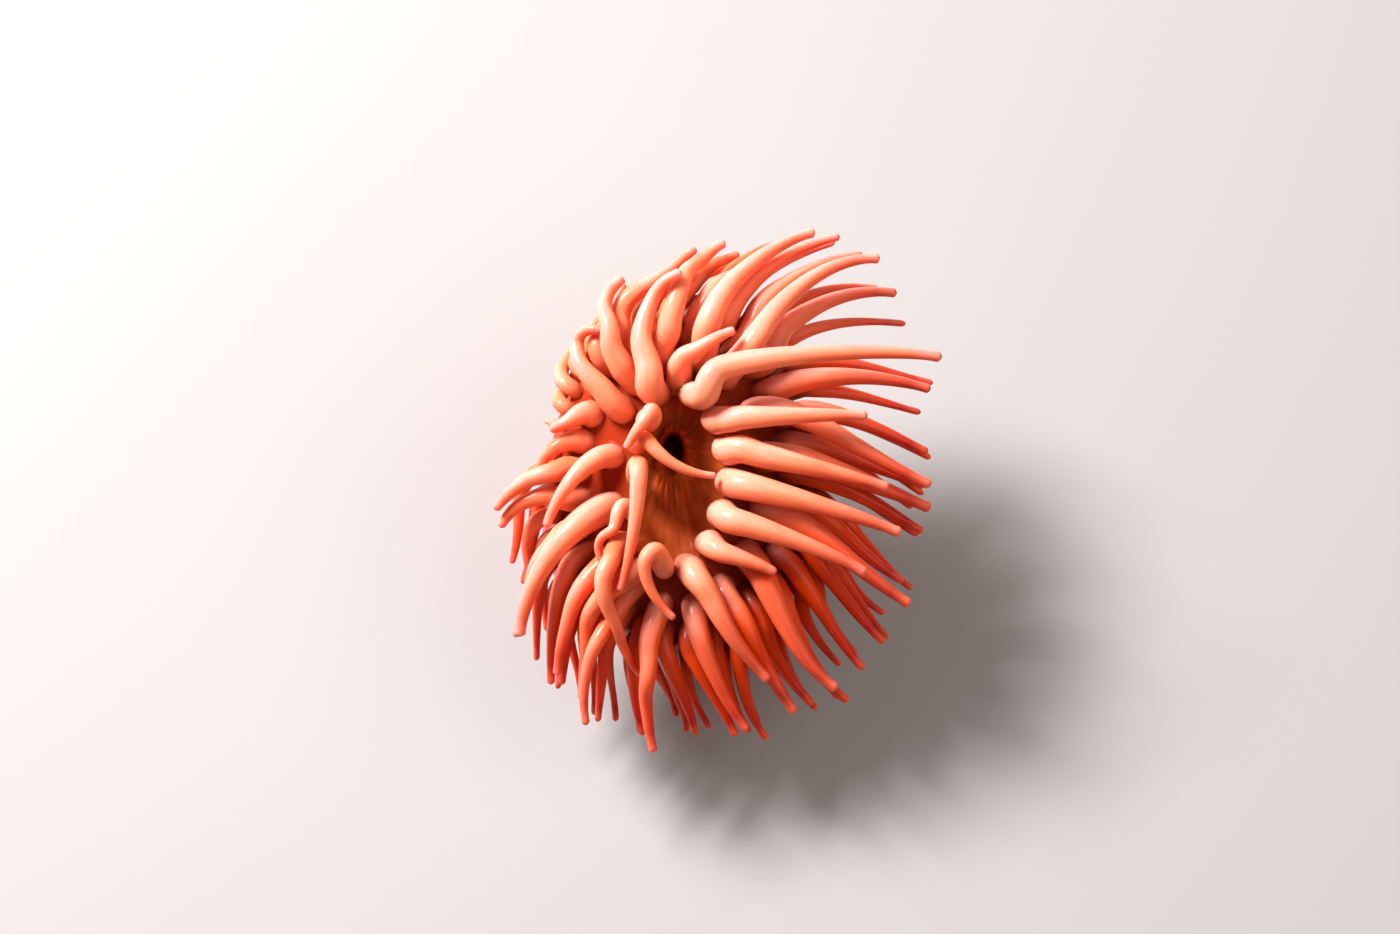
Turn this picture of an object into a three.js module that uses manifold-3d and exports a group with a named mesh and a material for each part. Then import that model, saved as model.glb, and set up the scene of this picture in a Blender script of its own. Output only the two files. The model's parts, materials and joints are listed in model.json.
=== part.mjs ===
// A beadlet anemone, life size, in millimetres, +Z up.
// It sits on its flat pedal disc, whose middle is the origin.  The column leans towards -Y, and
// the open crown looks up that way.  Crown coordinates are u (right), v (up the disc) and
// w (out of the disc), from the middle of the oral disc.
import * as THREE from 'three';
import { mergeVertices } from 'three/addons/utils/BufferGeometryUtils.js';
import Module from 'manifold-3d';

const wasm = await Module();
wasm.setup();

// ---------------------------------------------------------------- driving dimensions
const GAP = 0.3;                    // between touching pieces
const CROWN = { tilt: 22, y: -4.7, z: 24 };  // degrees from level, and the middle of the oral disc
const OVAL_STRETCH = 3.8;           // the crown is this much longer along v, each way
const BODY_SIDES = 18;
const PLATE_SIDES = 16;             // of the oral disc and of the plate round it

const FOOT = { radius: 14.6, thickness: 2, edge: 0.5, flare: 1.4 };
// The column: flare and fillet at the foot, straight: its length along the crown's axis, lean: where
// it starts to lean, ovalBy: where it reaches the crown's full oval.
const COLUMN = {
  waist: 11.8, shoulder: 12.3, flare: 1.3, fillet: 0.5, straight: 4, lean: 0.55, ovalBy: 0.75,
};
const PLATE_BOTTOM = -4.8;          // w of the underside of the plate and of the oral disc
const DISC = { radius: 4, rim: -1.3, slope: -2.2, middle: -2.5, slopeAt: 0.7, middleAt: 0.35 };
const RIM = { radius: 12.8, edge: -3.9, shoulderRadius: 9.6, shoulder: -1.7, inner: -0.9 };
const MOUTH = { u: -0.6, v: 3.2, radius: 1.1, stretch: 0.8, depth: 1.7, floor: 0.7, wallTop: 1, sides: 10 };
const LIP = { radius: 0.55, height: 1.5, lift: 0.35, sides: 6 };
const COLLAR = { radius: 13.3, w: -8.2, below: 1.4, above: 1, round: 0.4 };
const BEADS = { count: 16, radius: 0.75, inset: 0.3, rise: 1.2 };

const SECTOR_COUNT = 16;
const WEDGE = { near: 3, far: 30, depth: 20 };  // the reach and the depth of the cut for one sector
const SPLIT_AT = 0.46;              // where an inner tentacle's base length ends
const LENGTH_PIECES = 3;            // facets along each of its two lengths

// Rings of tentacles, from the mouth outwards.  Angles are in degrees, anticlockwise from +u.
// count: tentacles; first: angle of slot 0; radius: of the oval of roots; leftShare: how far out
// the left roots stand, against the right ones; depth: w of the roots; sink: how far each goes down
// into the plate; girth: radius at the bulge; spread and tipDepth: where the tips end; lift: slope
// at the root; pull: how long the root keeps its direction, against the span; sides and pieces:
// facets round and along it.  The inner ring's lengths have LENGTH_PIECES each.
const RINGS = [
  {
    count: 16, first: 90, radius: 5.3, leftShare: 0.8, depth: 0.4, sink: 1.1, girth: 1.52,
    spread: 0.8, tipDepth: 3, lift: 62, pull: 0.42, sides: 5,
  },
  {
    count: 16, first: 101.25, radius: 8, leftShare: 0.74, depth: -1.9, sink: 0.6, girth: 1.42,
    spread: 0.985, tipDepth: -0.3, lift: 54, pull: 0.44, sides: 5, pieces: 4,
  },
  {
    count: 32, first: 106.875, radius: 10.2, leftShare: 0.9, depth: -2.7, sink: 0, girth: 1.18,
    spread: 0.975, tipDepth: -3.6, lift: 42, pull: 0.4, sides: 5, pieces: 3,
  },
  {
    count: 48, first: 108.75, radius: 11.9, leftShare: 1, depth: -3.7, sink: 0, girth: 0.86,
    spread: 0.95, tipDepth: -7.2, lift: 30, pull: 0.38, sides: 4, pieces: 2,
  },
];
const LEAST_RADIUS = 0.35;          // no tentacle is thinner than this
const LOW_LEAN = 0.16;              // the inner ring's lower roots stand this much to the left

// The outline of the tips is an oval.  Fields round the compass, one value every 30 degrees from
// +u, shape the crown: how far the tips reach, how far round they shift, how far they turn, how
// far the roots turn, and how plump the tentacles are.
const TIP_OVAL = { u: 3.9, v: -0.8, halfWidth: 22.5, halfHeight: 26.5 };
const REACH = [0.97, 1.09, 1.12, 0.91, 0.86, 0.78, 0.88, 1.05, 1.07, 0.94, 0.98, 0.98];
const SHIFT = [18, 18, 9, 12, 15, 24, -20, -14, 2, 3, 12, 18];
const TURN = [-26, -43, -50, -55, -68, -50, 45, 52, 34, 24, 12, -4];
const LEAN = [-4, -8, 10, 6, -22, -20, -10, -8, -34, -8, -20, -18];
const PLUMP = [1.04, 1.06, 1.06, 1.04, 1.06, 0.98, 1.12, 1, 0.82, 0.86, 0.98, 1.04];
const WAVER = { shift: 3.5, reach: 0.055, depth: 1.1, turn: 10, girth: 0.07, lean: 9 };
const HIGH_DROOP = 0.08;            // tips high up the disc hang back by this much per mm
const HANG = { under: 9, down: 0.5, out: 0.38 };  // a short one hangs over the edge, hardly turned
const TIP_DIP = -8;                 // degrees that a tip points below the disc
const TIP_PULL = 0.4;               // how long a tip keeps its direction, against the span

// Tentacles with a pose of their own.  tip: u, v, w; tipHeading, heading and lift: degrees;
// pull and tipPull: how long the root and the tip keep their direction, against the span.
const POSED = [
  { name: 'hook', ring: 0, slot: 0, tip: [5.7, 15.1, 4.5], tipHeading: 18,
    heading: 125, lift: 58, pull: 0.45, tipPull: 0.38, slim: 0.88 },
  { name: 'crossing', ring: 0, slot: 1, tip: [26.2, 12.4, 4.5], tipHeading: -8,
    heading: 160, lift: 46, pull: 0.4, tipPull: 0.5, slim: 0.95 },
  { name: 'right_high', ring: 0, slot: 2, tip: [18.8, 6.6, 5], tipHeading: -2,
    heading: 190, lift: 66, pull: 0.4, tipPull: 0.45, slim: 0.95 },
  { name: 'right_first', ring: 0, slot: 3, tip: [21, -0.6, 3.6], tipHeading: -18,
    heading: 170, lift: 62, pull: 0.36, tipPull: 0.4, slim: 1 },
  { name: 'right_second', ring: 0, slot: 4, tip: [22.2, -5.1, 3.4], tipHeading: -24,
    heading: 170, lift: 62, pull: 0.34, tipPull: 0.42, slim: 1 },
  { name: 'right_third', ring: 0, slot: 5, tip: [18.7, -9.1, 3.8], tipHeading: -34,
    heading: 165, lift: 46, pull: 0.42, tipPull: 0.4, slim: 1 },
  { name: 'short_low', ring: 0, slot: 6, tip: [9.8, -9.1, 4], tipHeading: -34,
    heading: 170, lift: 54, pull: 0.5, tipPull: 0.35, slim: 0.95 },
  { name: 'low', ring: 0, slot: 7, tip: [9.1, -19.7, 1], tipHeading: -50,
    heading: 110, lift: 58, pull: 0.46, tipPull: 0.4, slim: 1 },
  { name: 'loop', ring: 0, slot: 8, tip: [-0.3, -13.6, 4.2], tipHeading: -42,
    heading: 80, lift: 50, pull: 1.6, tipPull: 1.5, slim: 0.72 },
  { name: 'low_left', ring: 0, slot: 9, tip: [-9.7, -21.9, -1], tipHeading: -93,
    heading: 150, lift: 52, pull: 0.5, tipPull: 0.5, slim: 0.85 },
  { name: 'dangle_low', ring: 0, slot: 10, tip: [-3.2, -19.6, 0.5], tipHeading: -48,
    heading: 190, lift: 56, pull: 0.6, tipPull: 0.6, slim: 0.7 },
  { name: 'dangle_thin', ring: 0, slot: 11, tip: [-7.2, -9.6, 2.6], tipHeading: -110,
    heading: 120, lift: 50, pull: 0.9, tipPull: 0.6, slim: 0.6 },
  { name: 'hanging', ring: 0, slot: 12, tip: [-6.1, -10.8, 4.2], tipHeading: -118,
    heading: 85, lift: 50, pull: 0.9, tipPull: 0.5, slim: 0.72 },
  { name: 'over_mouth', ring: 0, slot: 13, tip: [3.9, 0.6, 4], tipHeading: -3,
    heading: 85, lift: 56, pull: 0.75, tipPull: 0.8, slim: 0.66 },
  { name: 'fold', ring: 0, slot: 14, tip: [-5.2, 3.3, 5.2], tipHeading: -125,
    heading: 60, lift: 66, pull: 1, tipPull: 0.7, slim: 0.8 },
  { name: 'upright', ring: 0, slot: 15, tip: [0.7, 20.3, 1.5], tipHeading: 22,
    heading: 128, lift: 44, pull: 0.5, tipPull: 0.5, slim: 1 },
  { name: 'right_long', ring: 1, slot: 3, tip: [25.3, -0.3, 1.5], tipHeading: -23,
    heading: 35, lift: 52, pull: 0.4, tipPull: 0.45, slim: 1 },
  { name: 'left_curl', ring: 1, slot: 13, tip: [-13.2, -4.5, 1.5], tipHeading: -109,
    heading: 150, lift: 50, pull: 0.4, tipPull: 0.45, slim: 0.9 },
  { name: 'left_bow', ring: 1, slot: 14, tip: [-5.9, 14.6, -1.5], tipHeading: 0,
    heading: 135, lift: 46, pull: 0.8, tipPull: 0.9, slim: 1 },
  { name: 'left_horn', ring: 1, slot: 15, tip: [-5.5, 20.5, 0], tipHeading: 57,
    heading: 152, lift: 42, pull: 0.5, tipPull: 0.45, slim: 1.1 },
  { name: 'left_reach_low', ring: 2, slot: 25, tip: [-17.9, -4.6, -1.5], tipHeading: -115,
    heading: 172, lift: 40, pull: 0.45, tipPull: 0.4, slim: 1.15 },
  { name: 'left_reach', ring: 2, slot: 26, tip: [-18.4, -2.8, -0.5], tipHeading: -128,
    heading: 168, lift: 44, pull: 0.45, tipPull: 0.4, slim: 1.15 },
  { name: 'left_short_low', ring: 2, slot: 27, tip: [-13.7, 1.2, -1], tipHeading: -120,
    heading: 165, lift: 42, pull: 0.4, tipPull: 0.4, slim: 1.15 },
  { name: 'left_short', ring: 2, slot: 28, tip: [-12.9, 5.3, -0.5], tipHeading: 182,
    heading: 165, lift: 42, pull: 0.4, tipPull: 0.4, slim: 1.2 },
  { name: 'behind_bow', ring: 2, slot: 29, tip: [-6.6, 14.2, -3], tipHeading: 60,
    heading: 125, lift: 36, pull: 0.4, tipPull: 0.4, slim: 1 },
  { name: 'top_horn', ring: 2, slot: 31, tip: [1.9, 23.5, -2], tipHeading: 38,
    heading: 118, lift: 36, pull: 0.4, tipPull: 0.45, slim: 1.1 },
  { name: 'left_edge_low', ring: 3, slot: 40, tip: [-14.6, 0.6, -4.8], tipHeading: -165,
    heading: 178, lift: 30, pull: 0.4, tipPull: 0.4, slim: 1 },
  { name: 'left_edge', ring: 3, slot: 41, tip: [-13.6, 6.2, -4.8], tipHeading: 175,
    heading: 165, lift: 30, pull: 0.4, tipPull: 0.4, slim: 1 },
];

// How a tentacle's radius runs along it, against its bulge: [distance along, share of girth].
const SWELL = [
  [0, 0.82], [0.06, 0.94], [0.13, 1], [0.26, 0.9], [0.42, 0.76], [0.6, 0.59],
  [0.8, 0.45], [0.92, 0.36], [0.965, 0.35], [0.988, 0.4], [1, 0.28],
];

// Tentacles that press on each other are eased apart in small steps, and tight bends are opened.
const STATIONS = 21;                // points along each centre line
const DRAWN_POINTS = 120;           // along a curve before it is evenly stepped
const EASE = {
  steps: 110, gap: 0.36, rate: 1.7, depthShare: 1.6, heldNear: 0.05, freeBy: 0.3, smoothing: 3,
  tightestBend: 1.5, unbendRate: 0.7, settleSteps: 14, pressing: 0.5,
};

// ---------------------------------------------------------------- materials
function finish(colour, roughness) {
  return new THREE.MeshStandardMaterial({ color: colour, roughness, metalness: 0 });
}
const FLESH = finish('#ee7d5c', 0.35);
const DISC_FLESH = finish('#a4481f', 0.4);
const LIP_FLESH = finish('#b8321c', 0.35);
const COLUMN_FLESH = finish('#b5452b', 0.4);

// ---------------------------------------------------------------- solids
function solidFrom(geometry) {
  geometry.deleteAttribute('normal');
  geometry.deleteAttribute('uv');
  const merged = mergeVertices(geometry, 1e-4);
  return new wasm.Manifold(new wasm.Mesh({
    numProp: 3,
    vertProperties: new Float32Array(merged.attributes.position.array),
    triVerts: new Uint32Array(merged.index.array),
  }));
}

function geometryFrom(solid) {
  const mesh = solid.getMesh();
  const geometry = new THREE.BufferGeometry();
  geometry.setAttribute('position', new THREE.BufferAttribute(new Float32Array(mesh.vertProperties), 3));
  geometry.setIndex(new THREE.BufferAttribute(new Uint32Array(mesh.triVerts), 1));
  geometry.computeVertexNormals();
  return geometry;
}

// Cuts can leave a loose crumb.  Only the main body is kept.
function largestPiece(solid) {
  const pieces = solid.decompose();
  return pieces.reduce((best, piece) => (piece.volume() > best.volume() ? piece : best), pieces[0]);
}

function flipped(geometry) {
  const index = geometry.index.array;
  for (let i = 0; i < index.length; i += 3) {
    [index[i], index[i + 1]] = [index[i + 1], index[i]];
  }
  return geometry;
}

// A turned body whose vertices are then moved, one by one, by place(point).
function turned(outline, sides, place) {
  const points = outline.map(([radius, along]) => new THREE.Vector2(radius, along));
  const geometry = new THREE.LatheGeometry(points, sides);
  const position = geometry.attributes.position;
  const point = new THREE.Vector3();
  for (let i = 0; i < position.count; i += 1) {
    point.fromBufferAttribute(position, i);
    place(point);
    position.setXYZ(i, point.x, point.y, point.z);
  }
  const solid = solidFrom(geometry);
  return solid.volume() > 0 ? solid : solidFrom(flipped(geometry));
}

// ---------------------------------------------------------------- crown coordinates
const RAD = Math.PI / 180;
const crownMatrix = new THREE.Matrix4()
  .makeRotationX(CROWN.tilt * RAD)
  .setPosition(0, CROWN.y, CROWN.z);

const outOfDisc = new THREE.Vector3().setFromMatrixColumn(crownMatrix, 2);

// A lathe turns about its own Y.  This stands it on the disc, with a shift and an oval stretch.
function standOnDisc(stretch, u = 0, v = 0) {
  return (point) => {
    const radius = Math.hypot(point.x, point.z);
    const share = radius > 0 ? (radius + stretch) / radius : 1;
    point.set(point.x + u, -point.z * share + v, point.y).applyMatrix4(crownMatrix);
  };
}

// The body's lengthwise line: up from the floor, then over towards the crown's own axis.
const shoulder = new THREE.Vector3(0, 0, PLATE_BOTTOM - GAP).applyMatrix4(crownMatrix);
const shoulderStart = new THREE.Vector3(0, 0, PLATE_BOTTOM - COLUMN.straight).applyMatrix4(crownMatrix);
const bodyLine = new THREE.CurvePath();
bodyLine.add(new THREE.QuadraticBezierCurve3(
  new THREE.Vector3(0, 0, FOOT.thickness + GAP),
  new THREE.Vector3(0, 0, shoulderStart.z * COLUMN.lean),
  shoulderStart,
));
bodyLine.add(new THREE.LineCurve3(shoulderStart, shoulder));

// ---------------------------------------------------------------- tentacle centre lines
function clamp(value) {
  return Math.min(Math.max(value, 0), 1);
}

function smooth(part) {
  return part * part * (3 - 2 * part);
}

function compass(field, degrees) {
  const place = (((degrees % 360) + 360) % 360) / 30;
  const low = Math.floor(place) % 12;
  const blend = smooth(place - Math.floor(place));
  return field[low] * (1 - blend) + field[(low + 1) % 12] * blend;
}

// A fixed, uneven number between -1 and 1 for a tentacle and a purpose.
function waver(tentacle, purpose) {
  const value = Math.sin(tentacle * 12.9898 + purpose * 78.233) * 43758.5453;
  return (value - Math.floor(value)) * 2 - 1;
}

function direction(heading, lift) {
  return new THREE.Vector3(
    Math.cos(lift * RAD) * Math.cos(heading * RAD),
    Math.cos(lift * RAD) * Math.sin(heading * RAD),
    Math.sin(lift * RAD),
  );
}

function poseFromFields(ring, angle, root, number) {
  const around = angle - compass(SHIFT, angle) + waver(number, 1) * WAVER.shift;
  const reach = compass(REACH, around) * ring.spread * (1 + waver(number, 2) * WAVER.reach);
  const tipU = TIP_OVAL.u + TIP_OVAL.halfWidth * reach * Math.cos(around * RAD);
  const tipV = TIP_OVAL.v + TIP_OVAL.halfHeight * reach * Math.sin(around * RAD);
  const droop = HIGH_DROOP * Math.max(tipV, 0);
  const span = Math.hypot(tipU - root.x, tipV - root.y);
  const short = Math.max(HANG.under - span, 0);
  const turn = compass(TURN, around) * clamp(span / HANG.under);
  const outward = Math.atan2(root.y / (ring.radius + OVAL_STRETCH) ** 2, root.x / ring.radius ** 2);
  return {
    tip: [
      tipU + HANG.out * short * Math.cos(outward),
      tipV + HANG.out * short * Math.sin(outward),
      ring.tipDepth + waver(number, 3) * WAVER.depth - droop - HANG.down * short,
    ],
    tipHeading: around + turn + waver(number, 4) * WAVER.turn,
    heading: outward / RAD + compass(LEAN, angle) + waver(number, 6) * WAVER.lean,
    lift: ring.lift,
    pull: ring.pull,
    tipPull: TIP_PULL,
    slim: compass(PLUMP, angle) + waver(number, 5) * WAVER.girth,
  };
}

function drawnLine(root, pose) {
  const tip = new THREE.Vector3(...pose.tip);
  const span = tip.distanceTo(root);
  return new THREE.CubicBezierCurve3(
    root,
    root.clone().addScaledVector(direction(pose.heading, pose.lift), pose.pull * span),
    tip.clone().addScaledVector(direction(pose.tipHeading, TIP_DIP), -pose.tipPull * span),
    tip,
  );
}

// Points at even distances along a curve.
function evenPoints(curve) {
  const raw = curve.getPoints(DRAWN_POINTS);
  const along = [0];
  for (let i = 1; i < raw.length; i += 1) {
    along.push(along[i - 1] + raw[i].distanceTo(raw[i - 1]));
  }
  const total = along[along.length - 1];
  const points = [];
  let low = 0;
  for (let i = 0; i < STATIONS; i += 1) {
    const wanted = total * i / (STATIONS - 1);
    while (low < raw.length - 2 && along[low + 1] < wanted) {
      low += 1;
    }
    const part = (wanted - along[low]) / (along[low + 1] - along[low]);
    points.push(raw[low].clone().lerp(raw[low + 1], clamp(part)));
  }
  return points;
}

function swell(along) {
  let i = 0;
  while (i < SWELL.length - 2 && SWELL[i + 1][0] < along) {
    i += 1;
  }
  const part = (along - SWELL[i][0]) / (SWELL[i + 1][0] - SWELL[i][0]);
  return SWELL[i][1] + (SWELL[i + 1][1] - SWELL[i][1]) * part;
}

function radiusAlong(tentacle, along) {
  return Math.max(tentacle.girth * swell(along), LEAST_RADIUS);
}

function radiusAt(tentacle, station) {
  return radiusAlong(tentacle, station / (STATIONS - 1));
}

function layOutTentacles() {
  const tentacles = [];
  RINGS.forEach((ring, ringNumber) => {
    for (let slot = 0; slot < ring.count; slot += 1) {
      const angle = ring.first - 360 / ring.count * slot;
      const root = new THREE.Vector3(
        ring.radius * Math.cos(angle * RAD),
        (ring.radius + OVAL_STRETCH) * Math.sin(angle * RAD),
        ring.depth,
      );
      if (root.x < 0) {
        root.x *= ring.leftShare;
      }
      if (ringNumber === 0) {
        root.x += LOW_LEAN * Math.min(root.y, 0);
      }
      const own = POSED.find((entry) => entry.ring === ringNumber && entry.slot === slot);
      const pose = own ?? poseFromFields(ring, angle, root, tentacles.length);
      tentacles.push({
        ring: ringNumber,
        slot,
        sides: ring.sides,
        sink: ring.sink,
        points: evenPoints(drawnLine(root, pose)),
        girth: ring.girth * pose.slim,
      });
    }
  });
  return tentacles;
}

// The pushes between points of different tentacles that press on each other.
function pushes(tentacles, radii) {
  const total = tentacles.length * STATIONS;
  const place = new Float64Array(total * 3);
  tentacles.forEach((tentacle, number) => {
    tentacle.points.forEach((point, station) => point.toArray(place, (number * STATIONS + station) * 3));
  });
  const move = new Float64Array(total * 3);
  const touches = new Float64Array(total);
  for (let i = 0; i < total; i += 1) {
    const next = (Math.floor(i / STATIONS) + 1) * STATIONS;
    for (let j = next; j < total; j += 1) {
      const reach = radii[i] + radii[j] + EASE.gap;
      const du = place[i * 3] - place[j * 3];
      const dv = place[i * 3 + 1] - place[j * 3 + 1];
      const dw = place[i * 3 + 2] - place[j * 3 + 2];
      const square = du * du + dv * dv + dw * dw;
      if (square < reach * reach) {
        const distance = Math.sqrt(square) + 1e-6;
        const share = (reach - distance) / distance * 0.5;
        [du, dv, dw * EASE.depthShare].forEach((part, axis) => {
          move[i * 3 + axis] += part * share;
          move[j * 3 + axis] -= part * share;
        });
        touches[i] += 1;
        touches[j] += 1;
      }
    }
  }
  return { move, touches };
}

// Moves each centre line by its pushes, evened out along it.
function easeOnce(tentacles, radii) {
  const { move, touches } = pushes(tentacles, radii);
  tentacles.forEach((tentacle, number) => {
    const start = number * STATIONS;
    let moves = tentacle.points.map((_, station) => new THREE.Vector3()
      .fromArray(move, (start + station) * 3)
      .divideScalar(Math.max(touches[start + station], 1)));
    for (let pass = 0; pass < EASE.smoothing; pass += 1) {
      moves = moves.map((own, station) => {
        if (station === 0) {
          return own;
        }
        const before = moves[station - 1];
        if (station === STATIONS - 1) {
          return own.clone().add(before).multiplyScalar(0.5);
        }
        return own.clone().multiplyScalar(2).add(before).add(moves[station + 1]).multiplyScalar(0.25);
      });
    }
    tentacle.points.forEach((point, station) => {
      const free = clamp((station / (STATIONS - 1) - EASE.heldNear) / (EASE.freeBy - EASE.heldNear));
      point.addScaledVector(moves[station], EASE.rate * free);
    });
  });
}

// Opens every bend that is too tight for the tentacle's thickness.
function openBends(tentacle) {
  const line = tentacle.points;
  tentacle.points = line.map((point, station) => {
    if (station === 0 || station === STATIONS - 1) {
      return point;
    }
    const before = line[station - 1];
    const after = line[station + 1];
    const middle = before.clone().add(after).multiplyScalar(0.5).sub(point);
    const step = (point.distanceTo(before) + after.distanceTo(point)) / 2;
    const allowed = step * step / (EASE.tightestBend * radiusAt(tentacle, station));
    const excess = clamp(1 - allowed / (2 * middle.length() + 1e-9));
    return point.clone().addScaledVector(middle, EASE.unbendRate * excess);
  });
}

function easeApart(tentacles) {
  const radii = tentacles.flatMap((tentacle) => (
    tentacle.points.map((_, station) => radiusAt(tentacle, station))
  ));
  for (let step = 0; step < EASE.steps; step += 1) {
    easeOnce(tentacles, radii);
    tentacles.forEach(openBends);
  }
  for (let step = 0; step < EASE.settleSteps; step += 1) {
    tentacles.forEach(openBends);
  }
}

// ---------------------------------------------------------------- tentacle solids
// A length of a tentacle: a lathe's rings, each moved on to the centre line.
function tentacleLength(tentacle, from, to, pieces, extra = 0) {
  const points = tentacle.points.map((point) => point.clone().applyMatrix4(crownMatrix));
  const line = new THREE.CatmullRomCurve3(points);
  const circled = 1 / Math.sqrt(Math.cos(Math.PI / tentacle.sides));
  const outline = [[0, from]];
  for (let i = 0; i <= pieces; i += 1) {
    const along = from + (to - from) * i / pieces;
    outline.push([radiusAlong(tentacle, along) * circled + extra, along]);
  }
  outline.push([0, to]);
  const frames = line.computeFrenetFrames(DRAWN_POINTS, false);
  return turned(outline, tentacle.sides, (point) => {
    const at = Math.round(point.y * DRAWN_POINTS);
    const centre = line.getPointAt(clamp(point.y));
    if (point.y === 0) {
      centre.addScaledVector(outOfDisc, -tentacle.sink - extra);
    }
    centre.addScaledVector(frames.normals[at], point.x);
    point.copy(centre.addScaledVector(frames.binormals[at], point.z));
  });
}

function pressesOn(a, b) {
  return a.points.some((p, i) => b.points.some((q, j) => {
    const reach = radiusAt(a, i) + radiusAt(b, j) + EASE.pressing;
    return p.distanceToSquared(q) < reach * reach;
  }));
}

function lineLength(points) {
  return points.reduce((sum, point, i) => (i === 0 ? 0 : sum + point.distanceTo(points[i - 1])), 0);
}

function twoDigits(number) {
  return String(number).padStart(2, '0');
}

// The lengths that a tentacle is divided into, each with the node it belongs to.
function lengthsOf(tentacle) {
  if (tentacle.ring > 0) {
    const sector = Math.floor(tentacle.slot * SECTOR_COUNT / RINGS[tentacle.ring].count);
    return [{ node: sector, from: 0, to: 1, pieces: RINGS[tentacle.ring].pieces }];
  }
  const name = `tentacle_${twoDigits(tentacle.slot + 1)}`;
  const halfCut = GAP / 2 / lineLength(tentacle.points);
  return [
    { node: `${name}_base`, from: 0, to: SPLIT_AT - halfCut, pieces: LENGTH_PIECES },
    { node: `${name}_tip`, from: SPLIT_AT + halfCut, to: 1, pieces: LENGTH_PIECES },
  ];
}

// Makes every length, each cut clear of the earlier ones that it presses on in another node.
function makeLengths(tentacles) {
  const lengths = [];
  for (const tentacle of tentacles) {
    for (const { node, from, to, pieces } of lengthsOf(tentacle)) {
      let solid = tentacleLength(tentacle, from, to, pieces);
      for (const other of lengths) {
        if (other.node !== node && pressesOn(other.tentacle, tentacle)
          && solid.intersect(other.solid).volume() > 0) {
          solid = largestPiece(solid.subtract(other.fat));
        }
      }
      const fat = tentacleLength(tentacle, from, to, pieces, GAP);
      lengths.push({ tentacle, node, solid, fat });
    }
  }
  return lengths;
}

// ---------------------------------------------------------------- body pieces
function makeFoot() {
  const { radius, thickness, edge, flare } = FOOT;
  return turned([
    [0, 0], [radius - edge, 0], [radius, edge], [COLUMN.waist + flare, thickness], [0, thickness],
  ], BODY_SIDES, (point) => point.set(point.x, -point.z, point.y));
}

// The column.  Its outline is radius against distance along the body's line.
function makeColumn(extra = 0) {
  const { waist, flare, fillet } = COLUMN;
  const outline = [
    [waist + flare, 0], [waist + fillet, 0.12], [waist, 0.3], [waist, 0.5],
    [COLUMN.shoulder, 0.8], [COLUMN.shoulder, 1],
  ].map(([radius, along]) => [radius + extra, along]);
  const right = new THREE.Vector3(1, 0, 0);
  return turned([[0, 0], ...outline, [0, 1]], BODY_SIDES, (point) => {
    const along = point.y;
    const radius = Math.hypot(point.x, point.z);
    const stretch = OVAL_STRETCH * smooth(clamp(along / COLUMN.ovalBy));
    const share = radius > 0 ? (radius + stretch) / radius : 1;
    const centre = bodyLine.getPointAt(along);
    const back = new THREE.Vector3().crossVectors(bodyLine.getTangentAt(along), right);
    point.copy(centre.addScaledVector(right, point.x).addScaledVector(back, -point.z * share));
  });
}

// A low ridge round the shoulder, with the stinging beads on its upper edge.
function makeCollar(extra = 0) {
  const inner = COLUMN.shoulder + GAP;
  const outer = COLLAR.radius + extra;
  const bottom = COLLAR.w - COLLAR.below - extra;
  const top = COLLAR.w + COLLAR.above + extra;
  let collar = turned([
    [inner, bottom], [outer - COLLAR.round, bottom + COLLAR.round / 2], [outer, COLLAR.w],
    [outer - COLLAR.round, top], [inner, top], [inner, bottom],
  ], BEADS.count, standOnDisc(OVAL_STRETCH));
  for (let i = 0; i < BEADS.count; i += 1) {
    const angle = 360 / BEADS.count * (i + 0.5) * RAD;
    const radius = COLLAR.radius - BEADS.inset;
    const bead = new THREE.OctahedronGeometry(BEADS.radius + extra, 0);
    bead.translate(
      radius * Math.cos(angle),
      (radius + OVAL_STRETCH) * Math.sin(angle),
      COLLAR.w + BEADS.rise,
    );
    bead.applyMatrix4(crownMatrix);
    collar = collar.add(solidFrom(bead));
  }
  return collar;
}

function makeMouthPit(extra) {
  const bottom = DISC.middle - MOUTH.depth;
  return turned([
    [0, bottom], [MOUTH.radius * MOUTH.floor + extra, bottom],
    [MOUTH.radius + extra, DISC.middle], [MOUTH.radius + extra, MOUTH.wallTop], [0, MOUTH.wallTop],
  ], MOUTH.sides, standOnDisc(MOUTH.stretch, MOUTH.u, MOUTH.v));
}

function makeDisc() {
  const plate = turned([
    [0, PLATE_BOTTOM], [DISC.radius, PLATE_BOTTOM], [DISC.radius, DISC.rim],
    [DISC.radius * DISC.slopeAt, DISC.slope], [DISC.radius * DISC.middleAt, DISC.middle], [0, DISC.middle],
  ], PLATE_SIDES, standOnDisc(OVAL_STRETCH));
  return plate.subtract(makeMouthPit(LIP.radius * 2 + GAP));
}

function makeLips() {
  const outline = [];
  for (let i = 0; i <= LIP.sides; i += 1) {
    const angle = 2 * Math.PI / LIP.sides * i;
    outline.push([
      MOUTH.radius + LIP.radius + LIP.radius * Math.cos(angle),
      DISC.middle + LIP.lift + LIP.radius * LIP.height * Math.sin(angle),
    ]);
  }
  return turned(outline, MOUTH.sides, standOnDisc(MOUTH.stretch, MOUTH.u, MOUTH.v));
}

// The plate that carries the tentacles, whole.
function makeRim() {
  const inner = DISC.radius + GAP;
  return turned([
    [inner, PLATE_BOTTOM], [RIM.radius, PLATE_BOTTOM], [RIM.radius, RIM.edge],
    [RIM.shoulderRadius, RIM.shoulder], [inner, RIM.inner], [inner, PLATE_BOTTOM],
  ], PLATE_SIDES, standOnDisc(OVAL_STRETCH));
}

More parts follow.
